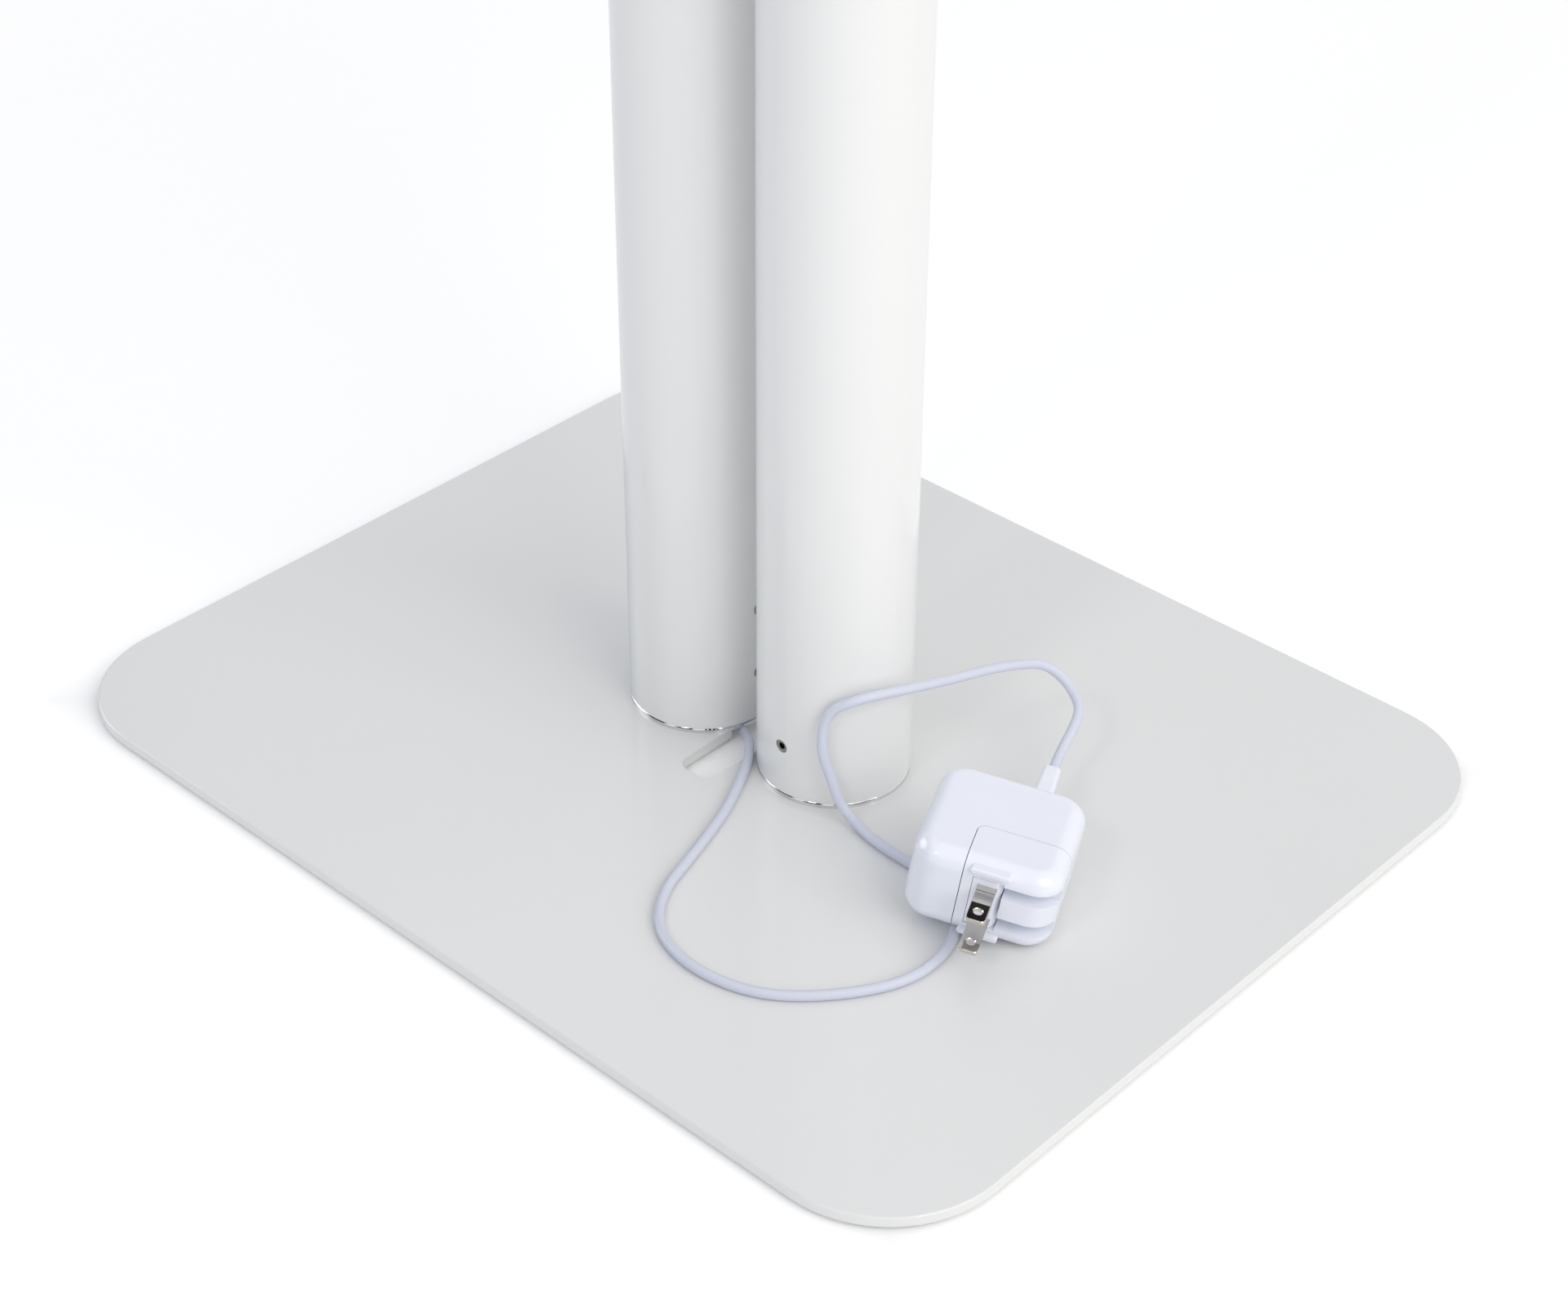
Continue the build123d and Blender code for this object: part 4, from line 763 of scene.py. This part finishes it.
nickel = Finish("bright_nickel", "blade_nickel", Metallic=1.0)
wear = nickel.grain(1.1 * MM, detail=3.0)
nickel.colour(wear, (0.58, 0.55, 0.505), (0.66, 0.635, 0.59))
nickel.roughness(0.01 + 0.02 * wear)
nickel.relief(nickel.grain(5 * MM, detail=0.0), 0.001 * MM)
coat(nickel, "usb_shell", "usb_socket", "tablet_plug_tip")

charger_place = (117.4, -18.6, 23.299)
charger_turn = 26.6
charger_lean = 8
charger_roll = -1
charger_frame = (
    Matrix.Translation([length * MM for length in charger_place])
    @ Matrix.Rotation(radians(charger_turn), 4, "Z")
    @ Matrix.Rotation(radians(charger_lean), 4, "Y")
    @ Matrix.Rotation(radians(charger_roll), 4, "X")
)
blade_x = 1.75
blade_pitch = 12.7
blade_width = 6.35
blade_thickness = 1.5
blade_root = -20.4
blade_tip = -41.5
hole_y = -37.0
hole_radius = 1.5
tip_corner = 1.2
root_corner = 0.3
blade_chamfer = 0.22
edge_steps = 72
halvings = 24


def on_blade(x, y, inset):
    """Whether a point is within the blade's outline, drawn in by inset."""
    corner = tip_corner if y < hole_y else root_corner
    middle = (blade_tip + blade_root) / 2
    half_length = (blade_root - blade_tip) / 2
    past_side = max(abs(x) - (blade_width / 2 - inset - corner), 0)
    past_end = max(abs(y - middle) - (half_length - inset - corner), 0)
    return past_side**2 + past_end**2 <= corner**2


def blade_edge(inset):
    """The blade's outline, as points at even turns about its hole."""
    points = []
    for step in range(edge_steps):
        turn = 2 * pi * step / edge_steps
        near, far = hole_radius, blade_root - blade_tip
        for _ in range(halvings):
            middle = (near + far) / 2
            if on_blade(middle * cos(turn), hole_y + middle * sin(turn), inset):
                near = middle
            else:
                far = middle
        points.append((blade_x + near * cos(turn), hole_y + near * sin(turn)))
    return points


def blade_hole(radius):
    """The edge of the blade's hole, in step with the outline's points."""
    return [(blade_x + x, hole_y + y) for x, y in circle(radius, edge_steps)]


blades = bmesh.new()
for blade_z in (-blade_pitch / 2, blade_pitch / 2):
    low, high = blade_z - blade_thickness / 2, blade_z + blade_thickness / 2
    loops = [
        (blade_edge(blade_chamfer), low),
        (blade_edge(0.0), low + blade_chamfer),
        (blade_edge(0.0), high - blade_chamfer),
        (blade_edge(blade_chamfer), high),
        (blade_hole(hole_radius + blade_chamfer), high),
        (blade_hole(hole_radius), high - blade_chamfer),
        (blade_hole(hole_radius), low + blade_chamfer),
        (blade_hole(hole_radius + blade_chamfer), low),
    ]
    skin(
        blades,
        [[charger_frame @ (Vector((x, y, z)) * MM) for x, y in loop] for loop, z in loops],
        looped=True,
    )
piece("stamped_blades", blades, nickel, "charger_blades", "plug_blades", crease=30)


# Charging cord. Limp sheathed cable, 3.5 mm thick, from the plate's cut-out in a loop over
# the plate, under the charger, up beside the right post and down into its USB plug's grip.

cord_points = [
    (-20.0, -1.5, 3.4),
    (-11.5, -3.8, 3.4),
    (-3.0, -8.0, 3.5),
    (4.5, -14.0, 7.5),
    (11.5, -22.5, 7.3),
    (17.5, -33.0, 7.3),
    (25.0, -48.0, 7.3),
    (33.0, -72.0, 7.3),
    (38.5, -91.0, 7.3),
    (51.0, -106.0, 7.3),
    (72.0, -111.5, 7.3),
    (96.0, -106.0, 7.3),
    (114.0, -89.0, 7.3),
    (126.0, -68.0, 7.3),
    (124.5, -47.0, 7.3),
    (114.0, -32.0, 7.3),
    (100.0, -25.0, 7.3),
    (84.0, -25.5, 7.3),
    (70.0, -24.5, 7.3),
    (61.1, -22.4, 7.7),
    (54.2, -23.1, 12.8),
    (51.3, -24.0, 22.1),
    (48.6, -26.7, 33.9),
    (48.1, -23.8, 47.9),
    (56.8, -17.9, 54.5),
    (62.1, -1.9, 52.3),
    (66.0, 16.1, 48.6),
    (69.5, 36.0, 45.0),
    (72.2, 48.1, 41.7),
    (75.0, 55.7, 39.4),
    (79.2, 59.4, 35.7),
    (84.7, 60.0, 31.9),
    (91.9, 56.6, 28.9),
    (95.3, 49.1, 26.4),
    (97.99, 37.09, 21.2),
    (102.92, 27.31, 21.39),
]
charging_cord = cable_line("charging_cord_run", cord_points)
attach(charging_cord, "stand")
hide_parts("charging_cord")


# Studio. A white floor that holds the stand's soft shadow and turns to plain white further
# out, a broad lamp to the right, a small one in front, and a room brighter on one side.
# The camera and shiny surfaces see the floor lighter than it lights the stand.

floor_white = Finish("studio_floor", None, Roughness=0.9, Specular_IOR_Level=0.0)
floor_white.colour(floor_white.grain(0.5), (0.93, 0.93, 0.93), (0.94, 0.94, 0.94))
shaded = Amount(floor_white, floor_white.shader.outputs[0])
glow = floor_white.node("ShaderNodeEmission", {}, {"Color": (1, 1, 1, 1), "Strength": 0.22})
glowing = floor_white.node("ShaderNodeAddShader", {}, {0: shaded, 1: glow})
paper = floor_white.node("ShaderNodeEmission", {}, {"Color": (1, 1, 1, 1), "Strength": 1.0})
fade_size = 2.0
distance = floor_white.node(
    "ShaderNodeVectorMath", {"operation": "LENGTH"}, {0: floor_white.place(fade_size)}, "Value"
)
fading = floor_white.steps(distance, (0.22, 0.0), (0.5, 1.0))
lightened = floor_white.node("ShaderNodeMixShader", {}, {0: fading, 1: glowing, 2: paper})
# Painted shade: the floor is lightened less under the plate, whose edge is at 0.5 in these
# places, so it shows darker through the cut-out.
plate_places = floor_white.place(
    2 * plate_half_x * MM, stretch=(1, plate_half_x / plate_half_y, 1)
)
from_middle = [
    floor_white.maths(
        "ABSOLUTE", floor_white.node("ShaderNodeSeparateXYZ", {}, {0: plate_places}, axis)
    )
    for axis in ("X", "Y")
]
clear_of_painted_plate_shade = floor_white.steps(
    floor_white.maths("MAXIMUM", *from_middle), (0.47, 0.35), (0.52, 1.0)
)
floor_seen = floor_white.node("ShaderNodeLightPath", output="Is Camera Ray")
floor_mirrored = floor_white.node("ShaderNodeLightPath", output="Is Glossy Ray")
floor_share = (floor_seen + floor_mirrored) * clear_of_painted_plate_shade
floor_look = floor_white.node(
    "ShaderNodeMixShader", {}, {0: floor_share, 1: shaded, 2: lightened}
)
floor_white.join(floor_look, floor_white.tree.nodes["Material Output"].inputs["Surface"])

floor_half = 6.0
floor_corners = [
    (-floor_half, -floor_half, 0),
    (floor_half, -floor_half, 0),
    (floor_half, floor_half, 0),
    (-floor_half, floor_half, 0),
]
floor_mesh = bpy.data.meshes.new("studio_floor")
floor_mesh.from_pydata(floor_corners, [], [(0, 1, 2, 3)])
floor_mesh.materials.append(floor_white.material)
studio_floor = bpy.data.objects.new("studio_floor", floor_mesh)
collection.objects.link(studio_floor)


class Room(Finish):
    """The studio's walls and ceiling, as a world shader."""

    def __init__(self, name):
        world = bpy.data.worlds.new(name)
        bpy.context.scene.world = world
        world.use_nodes = True
        self.tree = world.node_tree
        self.tree.nodes.clear()
        self.way = self.node("ShaderNodeTexCoord", output="Generated")

    def towards(self, direction):
        """How much a ray runs in a direction, from 0, straight away from it, to 1."""
        inputs = {0: self.way, 1: direction}
        along = self.node("ShaderNodeVectorMath", {"operation": "DOT_PRODUCT"}, inputs, "Value")
        return 0.5 + 0.5 * along


room = Room("studio_room")
window_side = room.towards((0.6, 0.1, 0.79))
tint = room.node(
    "ShaderNodeMix",
    {"data_type": "RGBA"},
    {0: window_side, 6: (0.78, 0.9, 1.12, 1), 7: (1.0, 0.988, 0.98, 1)},
    output=2,
)
lighting = room.node(
    "ShaderNodeBackground", {}, {"Color": tint, "Strength": 0.25 + 0.59 * window_side}
)
white = room.node("ShaderNodeBackground", {}, {"Color": (1, 1, 1, 1), "Strength": 1.0})
# Shiny surfaces see a surround of their own: dark furniture on the near side with two
# bright gaps in it, a dark shelf on the far wall, and a small bright window to the left.
upward = room.towards((0, 0, 1))
near_half = room.steps(room.towards((-0.45, -0.89, 0)), (0.46, 0.0), (0.5, 1.0))
furniture = room.steps(upward, (0.46, 0.0), (0.48, 1.0), (0.92, 1.0), (0.94, 0.0))
gap_edges = (0.42, 0.0), (0.44, 1.0), (0.56, 1.0), (0.58, 0.0)
first_gap = room.steps(room.towards((0.82, 0.57, 0)), *gap_edges)
second_gap = room.steps(room.towards((0.99, -0.12, 0)), *gap_edges)
dark = near_half * furniture * (1 - first_gap) * (1 - second_gap)
shelf = room.steps(room.towards((-0.32, 0.7, 0.638)), (0.99, 0.0), (0.995, 1.0))
shelf_edges = (
    (0.79, 0.75),
    (0.8158, 0.36),
    (0.8165, 0.01),
    (0.8203, 0.01),
    (0.8209, 0.14),
    (0.85, 0.14),
)
shelf_light = 1 + shelf * (room.steps(upward, *shelf_edges) - 1)
window = room.steps(room.towards((-0.86, -0.31, 0.39)), (0.955, 0.0), (0.978, 1.0))
shine = shelf_light * (1 - 0.95 * dark) + 4.5 * window
mirror = room.node("ShaderNodeBackground", {}, {"Color": (1, 1, 1, 1), "Strength": shine})
room_seen = room.node("ShaderNodeLightPath", output="Is Camera Ray")
room_mirrored = room.node("ShaderNodeLightPath", output="Is Glossy Ray")
unseen = room.node("ShaderNodeMixShader", {}, {0: room_mirrored, 1: lighting, 2: mirror})
surround = room.node("ShaderNodeMixShader", {}, {0: room_seen, 1: unseen, 2: white})
room.node("ShaderNodeOutputWorld", {}, {"Surface": surround}, output=None)


def softbox(name, place, aim, width, height, watts, colour):
    """A rectangular lamp that faces a point."""
    data = bpy.data.lights.new(name, "AREA")
    data.shape = "RECTANGLE"
    data.size = width
    data.size_y = height
    data.energy = watts
    data.color = colour
    lamp = bpy.data.objects.new(name, data)
    collection.objects.link(lamp)
    lamp.location = place
    lamp.rotation_mode = "QUATERNION"
    lamp.rotation_quaternion = (Vector(aim) - Vector(place)).to_track_quat("-Z", "Y")
    lamp.visible_camera = False


softbox(
    "key_lamp",
    place=(2.0, -0.2, 1.6),
    aim=(0, 0, 0.1),
    width=1.8,
    height=1.6,
    watts=22.0,
    colour=(1.0, 0.97, 0.91),
)
softbox(
    "front_lamp",
    place=(0.3, -1.67, 1.7),
    aim=(0.08, 0, 0),
    width=0.35,
    height=0.35,
    watts=4.0,
    colour=(0.97, 0.98, 1.0),
)

camera_place = (0.579825, -0.615690, 0.639811)
camera_turn = 42.9209
camera_down = 35.5207
camera_roll = 0.2449
camera_data = bpy.data.cameras.new("camera")
camera_data.lens = 69.577
camera_data.sensor_width = 36.0
camera_data.sensor_fit = "HORIZONTAL"
camera_data.clip_start = 0.01
camera_data.clip_end = 50.0
camera = bpy.data.objects.new("camera", camera_data)
collection.objects.link(camera)
camera.matrix_world = (
    Matrix.Translation(camera_place)
    @ Matrix.Rotation(radians(camera_turn), 4, "Z")
    @ Matrix.Rotation(radians(90 - camera_down), 4, "X")
    @ Matrix.Rotation(radians(camera_roll), 4, "Z")
)
bpy.context.scene.camera = camera
bpy.context.scene.view_settings.view_transform = "Standard"
